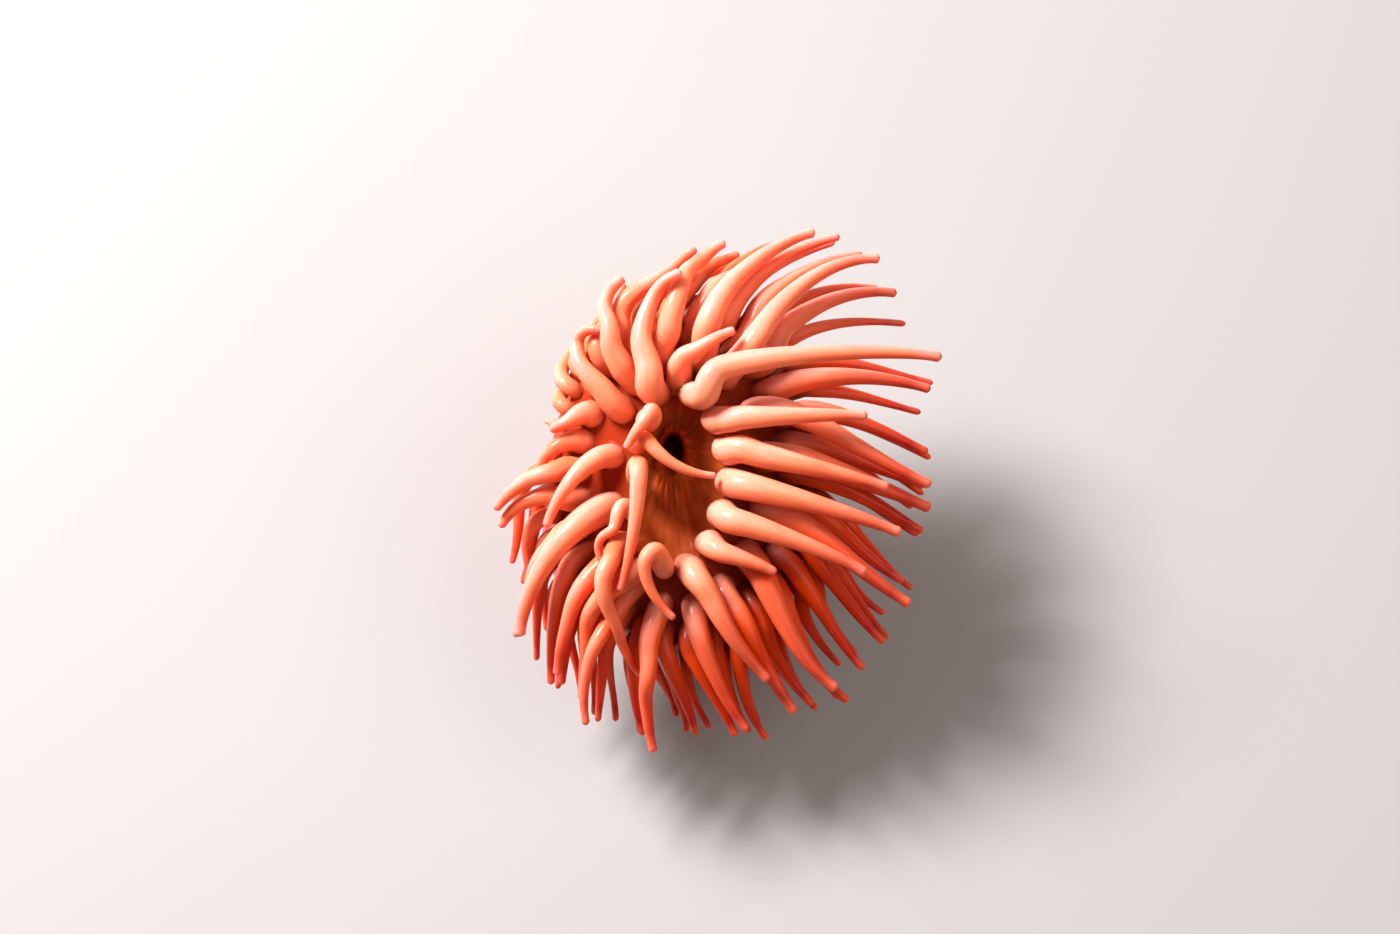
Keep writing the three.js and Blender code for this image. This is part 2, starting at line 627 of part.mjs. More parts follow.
// A wedge that takes one sector out of the rim, with half the gap off each side.
function makeWedge(sector) {
  const corner = (edge, radius, inwards) => {
    const angle = (90 + 360 / SECTOR_COUNT * (1 - edge)) * RAD;
    return new THREE.Vector2(
      radius * Math.cos(angle) + inwards * Math.sin(angle),
      (radius + OVAL_STRETCH) * Math.sin(angle) - inwards * Math.cos(angle),
    );
  };
  const outline = new THREE.Shape([
    corner(sector + 1, WEDGE.near, -GAP / 2),
    corner(sector + 1, WEDGE.far, -GAP / 2),
    corner(sector, WEDGE.far, GAP / 2),
    corner(sector, WEDGE.near, GAP / 2),
  ]);
  const geometry = new THREE.ExtrudeGeometry(outline, { depth: WEDGE.depth, bevelEnabled: false });
  geometry.translate(0, 0, -WEDGE.depth / 2);
  geometry.applyMatrix4(crownMatrix);
  return solidFrom(geometry);
}

// A sector of the crown: its part of the plate, with its outer tentacles joined to it.
function makeSector(sector, lengths, rim, keptFree) {
  let solid = rim.intersect(makeWedge(sector));
  for (const other of lengths.filter((entry) => entry.node !== sector)) {
    if (solid.intersect(other.solid).volume() > 0) {
      solid = solid.subtract(other.fat);
    }
  }
  for (const own of lengths.filter((entry) => entry.node === sector)) {
    solid = solid.add(own.solid.subtract(keptFree));
  }
  return largestPiece(solid);
}

// ---------------------------------------------------------------- assembly
const anemone = new THREE.Group();

function addNode(name, solid, material) {
  const mesh = new THREE.Mesh(geometryFrom(solid), material);
  mesh.name = name;
  anemone.add(mesh);
}

addNode('pedal_disc', makeFoot(), COLUMN_FLESH);
addNode('column', makeColumn(), COLUMN_FLESH);
addNode('collar', makeCollar(), COLUMN_FLESH);
addNode('oral_disc', makeDisc(), DISC_FLESH);
addNode('lips', makeLips(), LIP_FLESH);

const tentacles = layOutTentacles();
easeApart(tentacles);
const lengths = makeLengths(tentacles);
lengths
  .filter((entry) => entry.tentacle.ring === 0)
  .forEach((entry) => addNode(entry.node, entry.solid, FLESH));

const rim = makeRim();
const keptFree = makeColumn(GAP).add(makeCollar(GAP));
for (let sector = 0; sector < SECTOR_COUNT; sector += 1) {
  addNode(`crown_sector_${twoDigits(sector + 1)}`, makeSector(sector, lengths, rim, keptFree), FLESH);
}

export default anemone;
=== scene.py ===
import json
import logging
import math
from dataclasses import dataclass, field
from enum import IntEnum

import bmesh
import bpy
import numpy as np
from mathutils import Matrix, Vector

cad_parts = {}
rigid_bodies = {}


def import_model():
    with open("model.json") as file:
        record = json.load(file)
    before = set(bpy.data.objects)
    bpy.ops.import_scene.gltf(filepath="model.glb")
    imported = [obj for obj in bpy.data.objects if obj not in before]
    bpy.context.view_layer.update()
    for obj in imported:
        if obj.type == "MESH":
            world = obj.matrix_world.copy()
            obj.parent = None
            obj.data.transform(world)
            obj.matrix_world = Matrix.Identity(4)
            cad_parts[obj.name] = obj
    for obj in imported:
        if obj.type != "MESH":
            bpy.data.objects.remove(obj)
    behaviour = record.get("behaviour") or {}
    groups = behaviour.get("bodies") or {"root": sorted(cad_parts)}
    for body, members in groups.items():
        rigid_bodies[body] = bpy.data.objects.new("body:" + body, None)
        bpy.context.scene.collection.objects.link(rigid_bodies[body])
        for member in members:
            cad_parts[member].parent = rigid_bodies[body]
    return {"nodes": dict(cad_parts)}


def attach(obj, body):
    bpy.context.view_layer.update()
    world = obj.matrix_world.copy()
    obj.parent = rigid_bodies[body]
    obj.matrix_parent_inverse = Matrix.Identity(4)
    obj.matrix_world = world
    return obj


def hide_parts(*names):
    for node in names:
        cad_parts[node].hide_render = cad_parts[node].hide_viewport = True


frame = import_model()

LOG = logging.getLogger("anemone")
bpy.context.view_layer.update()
MM = 0.001
Tree = bpy.types.NodeTree
Socket = bpy.types.NodeSocket
Stops = tuple[tuple[float, str], ...]       # a colour ramp: positions and sRGB hex colours

# ------------------------------------------------------------------ crown and body, in millimetres
CROWN_TILT = 22.0               # degrees that the crown leans forwards
CROWN_MIDDLE = (0.0, -4.7, 24.0)
OVAL_STRETCH = 3.8              # how much farther the crown reaches up and down than sideways
FOOT_THICKNESS = 2.0
CUT = 0.3                       # the gap between two of the frame's solids
PLATE_BOTTOM_W = -4.8
SHOULDER_LENGTH = 4.0
LEAN_START = 0.55               # share of its height at which the column starts to lean
MOUTH_UV = (-0.6, 3.2)
MOUTH_STRETCH = 0.8
DISC_RADIUS = 4.0
FIELD_STEP = 30.0               # degrees between two values of a compass field
LEAST_BEND = 1e-9
LEAST_DISTANCE = 1e-6
WAVER_BY = (12.9898, 78.233, 43758.5453)    # any large uneven numbers do


class Purpose(IntEnum):
    """What an uneven number is for, so that no two purposes share one."""

    SHIFT = 1
    REACH = 2
    DEPTH = 3
    TURN = 4
    GIRTH = 5
    LEAN = 6
    BEAD = 9


@dataclass(frozen=True)
class Ring:
    """One ring of tentacles: angles in degrees, lengths in millimetres."""

    count: int
    first: float            # angle of slot 0
    radius: float           # of the oval of roots
    left_share: float       # how far out the left roots stand, against the right ones
    depth: float            # w of the roots
    sink: float             # how far each root goes down into the plate
    girth: float            # radius at the bulge
    spread: float           # how far the tips reach, against the oval of tips
    tip_depth: float        # w of the tips
    lift: float             # slope at the root
    pull: float             # how long the root keeps its direction, against the span


@dataclass(frozen=True)
class Pose:
    """How one tentacle runs: its tip (u, v, w), its headings in degrees and its pulls.

    A pull is how long the root or the tip keeps its direction, against the span.
    """

    tip: tuple[float, float, float]
    tip_heading: float
    heading: float
    lift: float
    pull: float
    tip_pull: float
    slim: float = 1.0


RINGS = (
    Ring(16, 90.0, 5.3, 0.8, 0.4, 1.7, 1.52, 0.8, 3.0, 62.0, 0.42),
    Ring(16, 101.25, 8.0, 0.74, -1.9, 0.8, 1.42, 0.985, -0.3, 54.0, 0.44),
    Ring(32, 106.875, 10.2, 0.9, -2.7, 0.3, 1.18, 0.975, -3.6, 42.0, 0.4),
    Ring(48, 108.75, 11.9, 1.0, -3.7, 0.3, 0.86, 0.95, -7.2, 30.0, 0.38),
)
# Tentacles with a pose of their own, by ring and slot.
POSED = {
    (0, 0): Pose((5.7, 15.1, 4.5), 18, 125, 58, 0.45, 0.38, 0.88),
    (0, 1): Pose((26.2, 12.4, 4.5), -8, 160, 46, 0.4, 0.5, 0.95),
    (0, 2): Pose((18.8, 6.6, 5), -2, 190, 66, 0.4, 0.45, 0.95),
    (0, 3): Pose((21, -0.6, 3.6), -18, 170, 62, 0.36, 0.4),
    (0, 4): Pose((22.2, -5.1, 3.4), -24, 170, 62, 0.34, 0.42),
    (0, 5): Pose((18.7, -9.1, 3.8), -34, 165, 46, 0.42, 0.4),
    (0, 6): Pose((9.8, -9.1, 4), -34, 170, 54, 0.5, 0.35, 0.95),
    (0, 7): Pose((9.1, -19.7, 1), -50, 110, 58, 0.46, 0.4),
    (0, 8): Pose((-0.3, -13.6, 4.2), -42, 80, 50, 1.6, 1.5, 0.72),
    (0, 9): Pose((-9.7, -21.9, -1), -93, 150, 52, 0.5, 0.5, 0.85),
    (0, 10): Pose((-3.2, -19.6, 0.5), -48, 190, 56, 0.6, 0.6, 0.7),
    (0, 11): Pose((-7.2, -9.6, 2.6), -110, 120, 50, 0.9, 0.6, 0.6),
    (0, 12): Pose((-6.1, -10.8, 4.2), -118, 85, 50, 0.9, 0.5, 0.72),
    (0, 13): Pose((3.9, 0.6, 4), -3, 85, 56, 0.75, 0.8, 0.66),
    (0, 14): Pose((-5.2, 3.3, 5.2), -125, 60, 66, 1.0, 0.7, 0.8),
    (0, 15): Pose((0.7, 20.3, 1.5), 22, 128, 44, 0.5, 0.5),
    (1, 3): Pose((25.3, -0.3, 1.5), -23, 35, 52, 0.4, 0.45),
    (1, 13): Pose((-13.2, -4.5, 1.5), -109, 150, 50, 0.4, 0.45, 0.9),
    (1, 14): Pose((-5.9, 14.6, -1.5), 0, 135, 46, 0.8, 0.9),
    (1, 15): Pose((-5.5, 20.5, 0), 57, 152, 42, 0.5, 0.45, 1.1),
    (2, 25): Pose((-17.9, -4.6, -1.5), -115, 172, 40, 0.45, 0.4, 1.15),
    (2, 26): Pose((-18.4, -2.8, -0.5), -128, 168, 44, 0.45, 0.4, 1.15),
    (2, 27): Pose((-13.7, 1.2, -1), -120, 165, 42, 0.4, 0.4, 1.15),
    (2, 28): Pose((-12.9, 5.3, -0.5), 182, 165, 42, 0.4, 0.4, 1.2),
    (2, 29): Pose((-6.6, 14.2, -3), 60, 125, 36, 0.4, 0.4),
    (2, 31): Pose((1.9, 23.5, -2), 38, 118, 36, 0.4, 0.45, 1.1),
    (3, 40): Pose((-14.6, 0.6, -4.8), -165, 178, 30, 0.4, 0.4),
    (3, 41): Pose((-13.6, 6.2, -4.8), 175, 165, 30, 0.4, 0.4),
}
# Fields round the compass, one value every 30 degrees from +u: how far the tips reach, how far
# round they shift, how far they turn, how far the roots turn, and how plump the tentacles are.
REACH = (0.97, 1.09, 1.12, 0.91, 0.86, 0.78, 0.88, 1.05, 1.07, 0.94, 0.98, 0.98)
SHIFT = (18, 18, 9, 12, 15, 24, -20, -14, 2, 3, 12, 18)
TURN = (-26, -43, -50, -55, -68, -50, 45, 52, 34, 24, 12, -4)
LEAN = (-4, -8, 10, 6, -22, -20, -10, -8, -34, -8, -20, -18)
PLUMP = (1.04, 1.06, 1.06, 1.04, 1.06, 0.98, 1.12, 1, 0.82, 0.86, 0.98, 1.04)
# How the radius runs along a tentacle, as a share of its girth.
SWELL_AT = (0, 0.06, 0.13, 0.26, 0.42, 0.6, 0.8, 0.92, 0.965, 0.988, 1)
SWELL_SHARE = (0.82, 0.94, 1, 0.9, 0.76, 0.59, 0.45, 0.36, 0.35, 0.4, 0.28)
LEAST_RADIUS = 0.35             # no tentacle is thinner than this


def srgb(code: str) -> tuple[float, float, float, float]:
    """Turns an sRGB hex colour into linear light.

    Args:
        code: six hex digits, with or without a leading #.

    Returns:
        Red, green, blue and an alpha of 1.
    """
    digits = code.lstrip("#")
    parts = [int(digits[i:i + 2], 16) / 255 for i in (0, 2, 4)]
    linear = [c / 12.92 if c <= 0.04045 else ((c + 0.055) / 1.055) ** 2.4 for c in parts]
    return (*linear, 1.0)


def smooth_step(value: np.ndarray | float) -> np.ndarray | float:
    """Returns 0 to 1 with an easy start and stop, for a value held between 0 and 1."""
    held = np.clip(value, 0.0, 1.0)
    return held * held * (3 - 2 * held)


def radius_along(girth: np.ndarray | float, along: np.ndarray) -> np.ndarray:
    """Returns a tentacle's radius in millimetres at shares of its length."""
    return np.maximum(girth * np.interp(along, SWELL_AT, SWELL_SHARE), LEAST_RADIUS)


def crown_matrix() -> Matrix:
    """Works out how the crown stands in the frame.

    Returns:
        The matrix from crown millimetres (u, v, w) to the frame's metres.
    """
    turn = Matrix.Rotation(math.radians(CROWN_TILT), 4, "X")
    place = Matrix.Translation(Vector(CROWN_MIDDLE) * MM)
    return place @ turn @ Matrix.Scale(MM, 4)


def to_frame(points: np.ndarray) -> np.ndarray:
    """Moves crown points in millimetres into the frame, in metres.

    Args:
        points: rows of u, v, w.

    Returns:
        Rows of x, y, z.
    """
    matrix = np.array(crown_matrix())
    return points @ matrix[:3, :3].T + matrix[:3, 3]


def read_along(along: np.ndarray, share: np.ndarray, values: np.ndarray) -> np.ndarray:
    """Reads rows of three between the shares that they are given at."""
    return np.stack([np.interp(along, share, values[:, axis]) for axis in range(3)], axis=1)


def curve_through(rough: np.ndarray, where: np.ndarray) -> np.ndarray:
    """Runs a smooth curve through rough points.

    Args:
        rough: the points.
        where: positions counted in points.

    Returns:
        The points on the curve.
    """
    padded = np.vstack([2 * rough[0] - rough[1], rough, 2 * rough[-1] - rough[-2]])
    low = np.minimum(where.astype(int), len(rough) - 2)
    t = (where - low)[:, None]
    a, b, c, d = (padded[low + k] for k in range(4))
    return 0.5 * (2 * b + (c - a) * t + (2 * a - 5 * b + 4 * c - d) * t ** 2
                  + (3 * b - a - 3 * c + d) * t ** 3)


def take_mesh(bm: bmesh.types.BMesh, name: str) -> bpy.types.Mesh:
    """Turns a bmesh into a mesh, and frees it.

    Args:
        bm: the bmesh.
        name: the mesh's name.

    Returns:
        The mesh.
    """
    mesh = bpy.data.meshes.new(name)
    bm.to_mesh(mesh)
    bm.free()
    return mesh


def add_object(name: str, data: bpy.types.ID) -> bpy.types.Object:
    """Puts an object into the scene.

    Args:
        name: its name.
        data: its mesh, lamp or camera.

    Returns:
        The object.
    """
    made = bpy.data.objects.new(name, data)
    bpy.context.scene.collection.objects.link(made)
    return made


def read_vectors(mesh: bpy.types.Mesh, name: str) -> np.ndarray:
    """Reads a vector of every vertex.

    Args:
        mesh: the mesh.
        name: what to read, "co" or "normal".

    Returns:
        One row for each vertex.
    """
    flat = np.empty(len(mesh.vertices) * 3)
    mesh.vertices.foreach_get(name, flat)
    return flat.reshape(-1, 3)


@dataclass
class Tentacle:
    """A tentacle's centre line in crown millimetres, with its girth."""

    ring: int
    slot: int
    points: np.ndarray
    girth: float

    def length(self) -> float:
        """Returns the length along the centre line, in millimetres."""
        return float(np.linalg.norm(np.diff(self.points, axis=0), axis=1).sum())


@dataclass
class TentacleLayout:
    """Lays out every tentacle, then eases apart those that press on each other."""

    tip_oval: tuple[float, float, float, float] = (3.9, -0.8, 22.5, 26.5)   # middle, half sizes
    waver_shift: float = 3.5
    waver_reach: float = 0.055
    waver_depth: float = 1.1
    waver_turn: float = 10.0
    waver_girth: float = 0.07
    waver_lean: float = 9.0
    high_droop: float = 0.08        # tips high up the disc hang back by this much per millimetre
    hang_under: float = 9.0         # a tentacle of a shorter span hangs over the edge
    hang_down: float = 0.5
    hang_out: float = 0.38
    tip_dip: float = -8.0           # degrees that a tip points below the disc
    low_lean: float = 0.16          # the inner ring's lower roots stand this much to the left
    tip_pull: float = 0.4
    stations: int = 21
    drawn_points: int = 120
    ease_steps: int = 110
    ease_gap: float = 0.36          # millimetres left between two tentacles
    ease_rate: float = 1.7
    depth_share: float = 1.6        # they part more easily in depth than sideways
    held_near: float = 0.05         # the root stays put up to this share of the length
    free_by: float = 0.3            # and the tentacle is free from this one
    smoothing: int = 3
    refresh_every: int = 10
    near_margin: float = 3.0
    tightest_bend: float = 1.5      # radius of a bend, in tentacle radii
    unbend_rate: float = 0.7
    settle_steps: int = 14
    tentacles: list[Tentacle] = field(default_factory=list)

    @staticmethod
    def compass(values: tuple[float, ...], degrees: float) -> float:
        """Reads a compass field.

        Args:
            values: the field's values.
            degrees: where to read it.

        Returns:
            The blended value.
        """
        place = (degrees % 360) / FIELD_STEP
        low = int(place) % len(values)
        blend = float(smooth_step(place - math.floor(place)))
        return values[low] * (1 - blend) + values[(low + 1) % len(values)] * blend

    @staticmethod
    def waver(number: int, purpose: Purpose) -> float:
        """Gives a fixed, uneven number.

        Args:
            number: the piece's number.
            purpose: what it is for.

        Returns:
            A number between -1 and 1.
        """
        by_number, by_purpose, stretch = WAVER_BY
        value = math.sin(number * by_number + purpose * by_purpose) * stretch
        return (value - math.floor(value)) * 2 - 1

    @staticmethod
    def direction(heading: float, lift: float) -> np.ndarray:
        """Turns angles into a direction.

        Args:
            heading: degrees round from +u.
            lift: degrees up out of the disc.

        Returns:
            The unit vector.
        """
        turn, rise = math.radians(heading), math.radians(lift)
        flat = math.cos(rise)
        return np.array([flat * math.cos(turn), flat * math.sin(turn), math.sin(rise)])

    def pose_from_fields(self, ring: Ring, angle: float, root: np.ndarray, number: int) -> Pose:
        """Poses an ordinary tentacle from the compass fields.

        Args:
            ring: the ring it belongs to.
            angle: where it stands in the ring, in degrees.
            root: its root in crown millimetres.
            number: its number in the whole crown.

        Returns:
            The pose.
        """
        around = angle - self.compass(SHIFT, angle) + self.waver(number, Purpose.SHIFT) * self.waver_shift
        reach = self.compass(REACH, around) * ring.spread
        reach *= 1 + self.waver(number, Purpose.REACH) * self.waver_reach
        mid_u, mid_v, half_width, half_height = self.tip_oval
        tip_u = mid_u + half_width * reach * math.cos(math.radians(around))
        tip_v = mid_v + half_height * reach * math.sin(math.radians(around))
        tip_w = ring.tip_depth + self.waver(number, Purpose.DEPTH) * self.waver_depth
        tip_w -= self.high_droop * max(tip_v, 0.0)
        half_oval = ring.radius + OVAL_STRETCH
        outward = math.atan2(root[1] / half_oval ** 2, root[0] / ring.radius ** 2)
        # A short one hangs over the edge, hardly turned.
        span = math.hypot(tip_u - root[0], tip_v - root[1])
        short = max(self.hang_under - span, 0.0)
        turn = self.compass(TURN, around) * min(span / self.hang_under, 1.0)
        tip_u += self.hang_out * short * math.cos(outward)
        tip_v += self.hang_out * short * math.sin(outward)
        tip_w -= self.hang_down * short
        lean = self.waver(number, Purpose.LEAN) * self.waver_lean
        return Pose(
            tip=(tip_u, tip_v, tip_w),
            tip_heading=around + turn + self.waver(number, Purpose.TURN) * self.waver_turn,
            heading=math.degrees(outward) + self.compass(LEAN, angle) + lean,
            lift=ring.lift,
            pull=ring.pull,
            tip_pull=self.tip_pull,
            slim=self.compass(PLUMP, angle) + self.waver(number, Purpose.GIRTH) * self.waver_girth,
        )

    def centre_line(self, root: np.ndarray, pose: Pose) -> np.ndarray:
        """Draws a centre line.

        Args:
            root: where it starts.
            pose: how it runs.

        Returns:
            Points at even distances along it.
        """
        tip = np.array(pose.tip, float)
        span = float(np.linalg.norm(tip - root))
        near_root = root + pose.pull * span * self.direction(pose.heading, pose.lift)
        near_tip = tip - pose.tip_pull * span * self.direction(pose.tip_heading, self.tip_dip)
        t = np.linspace(0, 1, self.drawn_points + 1)[:, None]
        raw = (1 - t) ** 3 * root + 3 * (1 - t) ** 2 * t * near_root
        raw = raw + 3 * (1 - t) * t ** 2 * near_tip + t ** 3 * tip
        along = np.r_[0, np.cumsum(np.linalg.norm(np.diff(raw, axis=0), axis=1))]
        wanted = np.linspace(0, along[-1], self.stations)
        return np.stack([np.interp(wanted, along, raw[:, axis]) for axis in range(3)], axis=1)

    def lay_out(self) -> None:
        """Fills the list of tentacles, ring by ring."""
        for ring_number, ring in enumerate(RINGS):
            for slot in range(ring.count):
                angle = ring.first - 360 / ring.count * slot
                turn = math.radians(angle)
                root = np.array([
                    ring.radius * math.cos(turn),
                    (ring.radius + OVAL_STRETCH) * math.sin(turn),
                    ring.depth,
                ])
                if root[0] < 0:
                    root[0] *= ring.left_share
                if ring_number == 0:
                    root[0] += self.low_lean * min(root[1], 0.0)
                number = len(self.tentacles)
                pose = POSED.get((ring_number, slot))
                pose = pose or self.pose_from_fields(ring, angle, root, number)
                points = self.centre_line(root, pose)
                self.tentacles.append(Tentacle(ring_number, slot, points, ring.girth * pose.slim))

    def ease_apart(self) -> None:
        """Moves the centre lines, in small smooth steps, until the tentacles lie clear."""
        along = np.linspace(0, 1, self.stations)
        radii = np.concatenate([radius_along(t.girth, along) for t in self.tentacles])
        owner = np.repeat(np.arange(len(self.tentacles)), self.stations)
        place = np.concatenate([t.points for t in self.tentacles])
        free = np.clip((along - self.held_near) / (self.free_by - self.held_near), 0, 1)
        first, second = np.zeros(0, int), np.zeros(0, int)
        for step in range(self.ease_steps):
            if step % self.refresh_every == 0:
                first, second = self.near_pairs(place, radii, owner)
            place = place + self.ease_rate * self.step(place, radii, first, second, free)
            place = self.unbent(place, radii)
        for _ in range(self.settle_steps):
            place = self.unbent(place, radii)
        for number, tentacle in enumerate(self.tentacles):
            tentacle.points = place[number * self.stations:(number + 1) * self.stations]

    def unbent(self, place: np.ndarray, radii: np.ndarray) -> np.ndarray:
        """Opens every bend that is too tight for the tentacle's thickness.

        Args:
            place: all points.
            radii: their radii.

        Returns:
            The points after one step.
        """
        lines = place.reshape(-1, self.stations, 3)
        middle = 0.5 * (lines[:, :-2] + lines[:, 2:]) - lines[:, 1:-1]
        bend = 2 * np.linalg.norm(middle, axis=2) + LEAST_BEND
        steps = np.linalg.norm(np.diff(lines, axis=1), axis=2)
        step = 0.5 * (steps[:, :-1] + steps[:, 1:])
        allowed = step ** 2 / (self.tightest_bend * radii.reshape(-1, self.stations)[:, 1:-1])
        excess = np.clip(1 - allowed / bend, 0, 1)
        opened = lines.copy()
        opened[:, 1:-1] += self.unbend_rate * excess[:, :, None] * middle
        return opened.reshape(-1, 3)

    def near_pairs(
        self, place: np.ndarray, radii: np.ndarray, owner: np.ndarray,
    ) -> tuple[np.ndarray, np.ndarray]:
        """Finds the pairs of points that may touch soon.

        Args:
            place: all points.
            radii: their radii.
            owner: the tentacle that each belongs to.

        Returns:
            The two ends of each pair.
        """
        apart = np.linalg.norm(place[:, None, :] - place[None, :, :], axis=2)
        reach = radii[:, None] + radii[None, :] + self.ease_gap + self.near_margin
        return np.nonzero((apart < reach) & (owner[:, None] < owner[None, :]))

    def step(
        self, place: np.ndarray, radii: np.ndarray, first: np.ndarray, second: np.ndarray,
        free: np.ndarray,
    ) -> np.ndarray:
        """Works out one smooth step of easing.

        Args:
            place: all points.
            radii: their radii.
            first: one end of each near pair.
            second: the other end.
            free: how freely each station moves.

        Returns:
            The move of every point.
        """
        between = place[first] - place[second]
        square = (between ** 2).sum(axis=1)
        reach = radii[first] + radii[second] + self.ease_gap
        hit = square < reach ** 2
        first, second, between, reach = first[hit], second[hit], between[hit], reach[hit]
        distance = np.sqrt(square[hit]) + LEAST_DISTANCE
        push = between * ((reach - distance) / distance * 0.5)[:, None]
        push[:, 2] *= self.depth_share
        move = np.zeros_like(place)
        touches = np.zeros(len(place))
        np.add.at(move, first, push)
        np.add.at(move, second, -push)
        np.add.at(touches, first, 1)
        np.add.at(touches, second, 1)
        move /= np.maximum(touches, 1)[:, None]
        move = move.reshape(-1, self.stations, 3)
        for _ in range(self.smoothing):
            eased = move.copy()
            eased[:, 1:-1] = 0.25 * move[:, :-2] + 0.5 * move[:, 1:-1] + 0.25 * move[:, 2:]
            eased[:, -1] = 0.5 * move[:, -1] + 0.5 * move[:, -2]
            move = eased
        return (move * free[None, :, None]).reshape(-1, 3)


@dataclass
class Tube:
    """Makes one tentacle's round surface from a capped cylinder, ring by ring."""

    sides: int = 18
    rings: int = 46
    tip_rounding: float = 0.55      # millimetres over which the tip closes
    below_tip: float = 0.86         # share of the template's rings below the rounded tip
    least_closing: float = 0.0004   # square of the share of its girth that the tip closes to
    root_part: float = 0.06         # share of the length that goes down into the disc

    def template(self) -> bpy.types.Mesh:
        """Makes the unit cylinder that every tentacle starts from.

        Returns:
            A mesh with z from 0 at the root to 1 at the tip.
        """
        bm = bmesh.new()
        bmesh.ops.create_cone(
            bm, cap_ends=True, cap_tris=True, segments=self.sides, radius1=1, radius2=1, depth=1,
        )
        bmesh.ops.translate(bm, verts=bm.verts, vec=(0, 0, 0.5))
        upright = [e for e in bm.edges if abs(e.verts[0].co.z - e.verts[1].co.z) > 0.5]
        bmesh.ops.subdivide_edges(bm, edges=upright, cuts=self.rings, use_grid_fill=True)
        bmesh.ops.recalc_face_normals(bm, faces=bm.faces)
        return take_mesh(bm, "tentacle_template")

    def shaped(self, template: bpy.types.Mesh, tentacle: Tentacle) -> bpy.types.Mesh:
        """Bends and swells a copy of the template along a tentacle.

        Args:
            template: the unit cylinder.
            tentacle: the centre line and girth.

        Returns:
            The tentacle's mesh, in the frame's metres.
        """
        mesh = template.copy()
        unit = read_vectors(mesh, "co")
        line = FineLine(tentacle)
        length = tentacle.length()
        tip_share = self.tip_rounding / length
        # Rings crowd together where the tip rounds over.
        height = unit[:, 2]
        rounded = np.sin((height - self.below_tip) / (1 - self.below_tip) * math.pi / 2)
        along = np.where(
            height < self.below_tip,
            height / self.below_tip * (1 - tip_share),
            1 - tip_share + tip_share * rounded,
        )
        girth = radius_along(tentacle.girth, along)
        over = np.clip((along - 1 + tip_share) / tip_share, 0, 1)
        girth *= np.sqrt(np.clip(1 - over ** 2, self.least_closing, 1))
        centre, right, up = line.at(along)
        centre[:, 2] -= RINGS[tentacle.ring].sink * np.clip(1 - height / self.root_part, 0, 1)
        girth = girth[:, None]
        points = centre + right * (unit[:, :1] * girth) + up * (unit[:, 1:2] * girth)
        mesh.vertices.foreach_set("co", to_frame(points).ravel())
        mesh.update()
        return mesh


class FineLine:
    """A tentacle's centre line, finely stepped, with a frame that doesn't twist."""

    STEPS = 160
    FIRST_UP = (0.0, 0.3, 1.0)      # the root's right side is square to this

    def __init__(self, tentacle: Tentacle) -> None:
        """Works out the fine points and the frames.

        Args:
            tentacle: the tentacle to follow.
        """
        rough = tentacle.points
        self.share = np.linspace(0, 1, self.STEPS + 1)
        self.points = curve_through(rough, self.share * (len(rough) - 1))
        ahead = np.gradient(self.points, axis=0)
        self.ahead = ahead / np.linalg.norm(ahead, axis=1)[:, None]
        self.right = np.zeros_like(self.points)
        start = np.cross(self.ahead[0], self.FIRST_UP)
        self.right[0] = start / np.linalg.norm(start)
        for i in range(1, len(self.points)):
            turned = self.right[i - 1] - self.ahead[i] * (self.right[i - 1] @ self.ahead[i])
            self.right[i] = turned / np.linalg.norm(turned)
        self.up = np.cross(self.ahead, self.right)

    def at(self, along: np.ndarray) -> tuple[np.ndarray, ...]:
        """Reads the centre, right and up vectors at shares of the length."""
        return tuple(read_along(along, self.share, each) for each in (self.points, self.right, self.up))


class BodyLine:
    """The body's lengthwise line: up from the floor, then over to the crown's axis."""

    STEPS = 200

    def __init__(self) -> None:
        """Works out the line's points in millimetres and its directions."""
        shoulder = self.on_axis(PLATE_BOTTOM_W - CUT)
        start = self.on_axis(PLATE_BOTTOM_W - SHOULDER_LENGTH)
        low = np.array([0.0, 0.0, FOOT_THICKNESS + CUT])
        middle = np.array([0.0, 0.0, start[2] * LEAN_START])
        t = np.linspace(0, 1, self.STEPS)[:, None]
        bend = (1 - t) ** 2 * low + 2 * (1 - t) * t * middle + t ** 2 * start
        self.points = np.vstack([bend, start + (shoulder - start) * t[1:]])
        steps = np.linalg.norm(np.diff(self.points, axis=0), axis=1)
        distance = np.r_[0, np.cumsum(steps)]
        self.share = distance / distance[-1]
        ahead = np.gradient(self.points, distance, axis=0)
        self.ahead = ahead / np.linalg.norm(ahead, axis=1)[:, None]

    @staticmethod
    def on_axis(w: float) -> np.ndarray:
        """Returns the point of the crown's axis at a depth w, in frame millimetres."""
        return to_frame(np.array([[0.0, 0.0, w]]))[0] / MM

    def at(self, along: np.ndarray) -> tuple[np.ndarray, ...]:
        """Reads the centre and the upward direction at shares of the line."""
        return tuple(read_along(along, self.share, each) for each in (self.points, self.ahead))


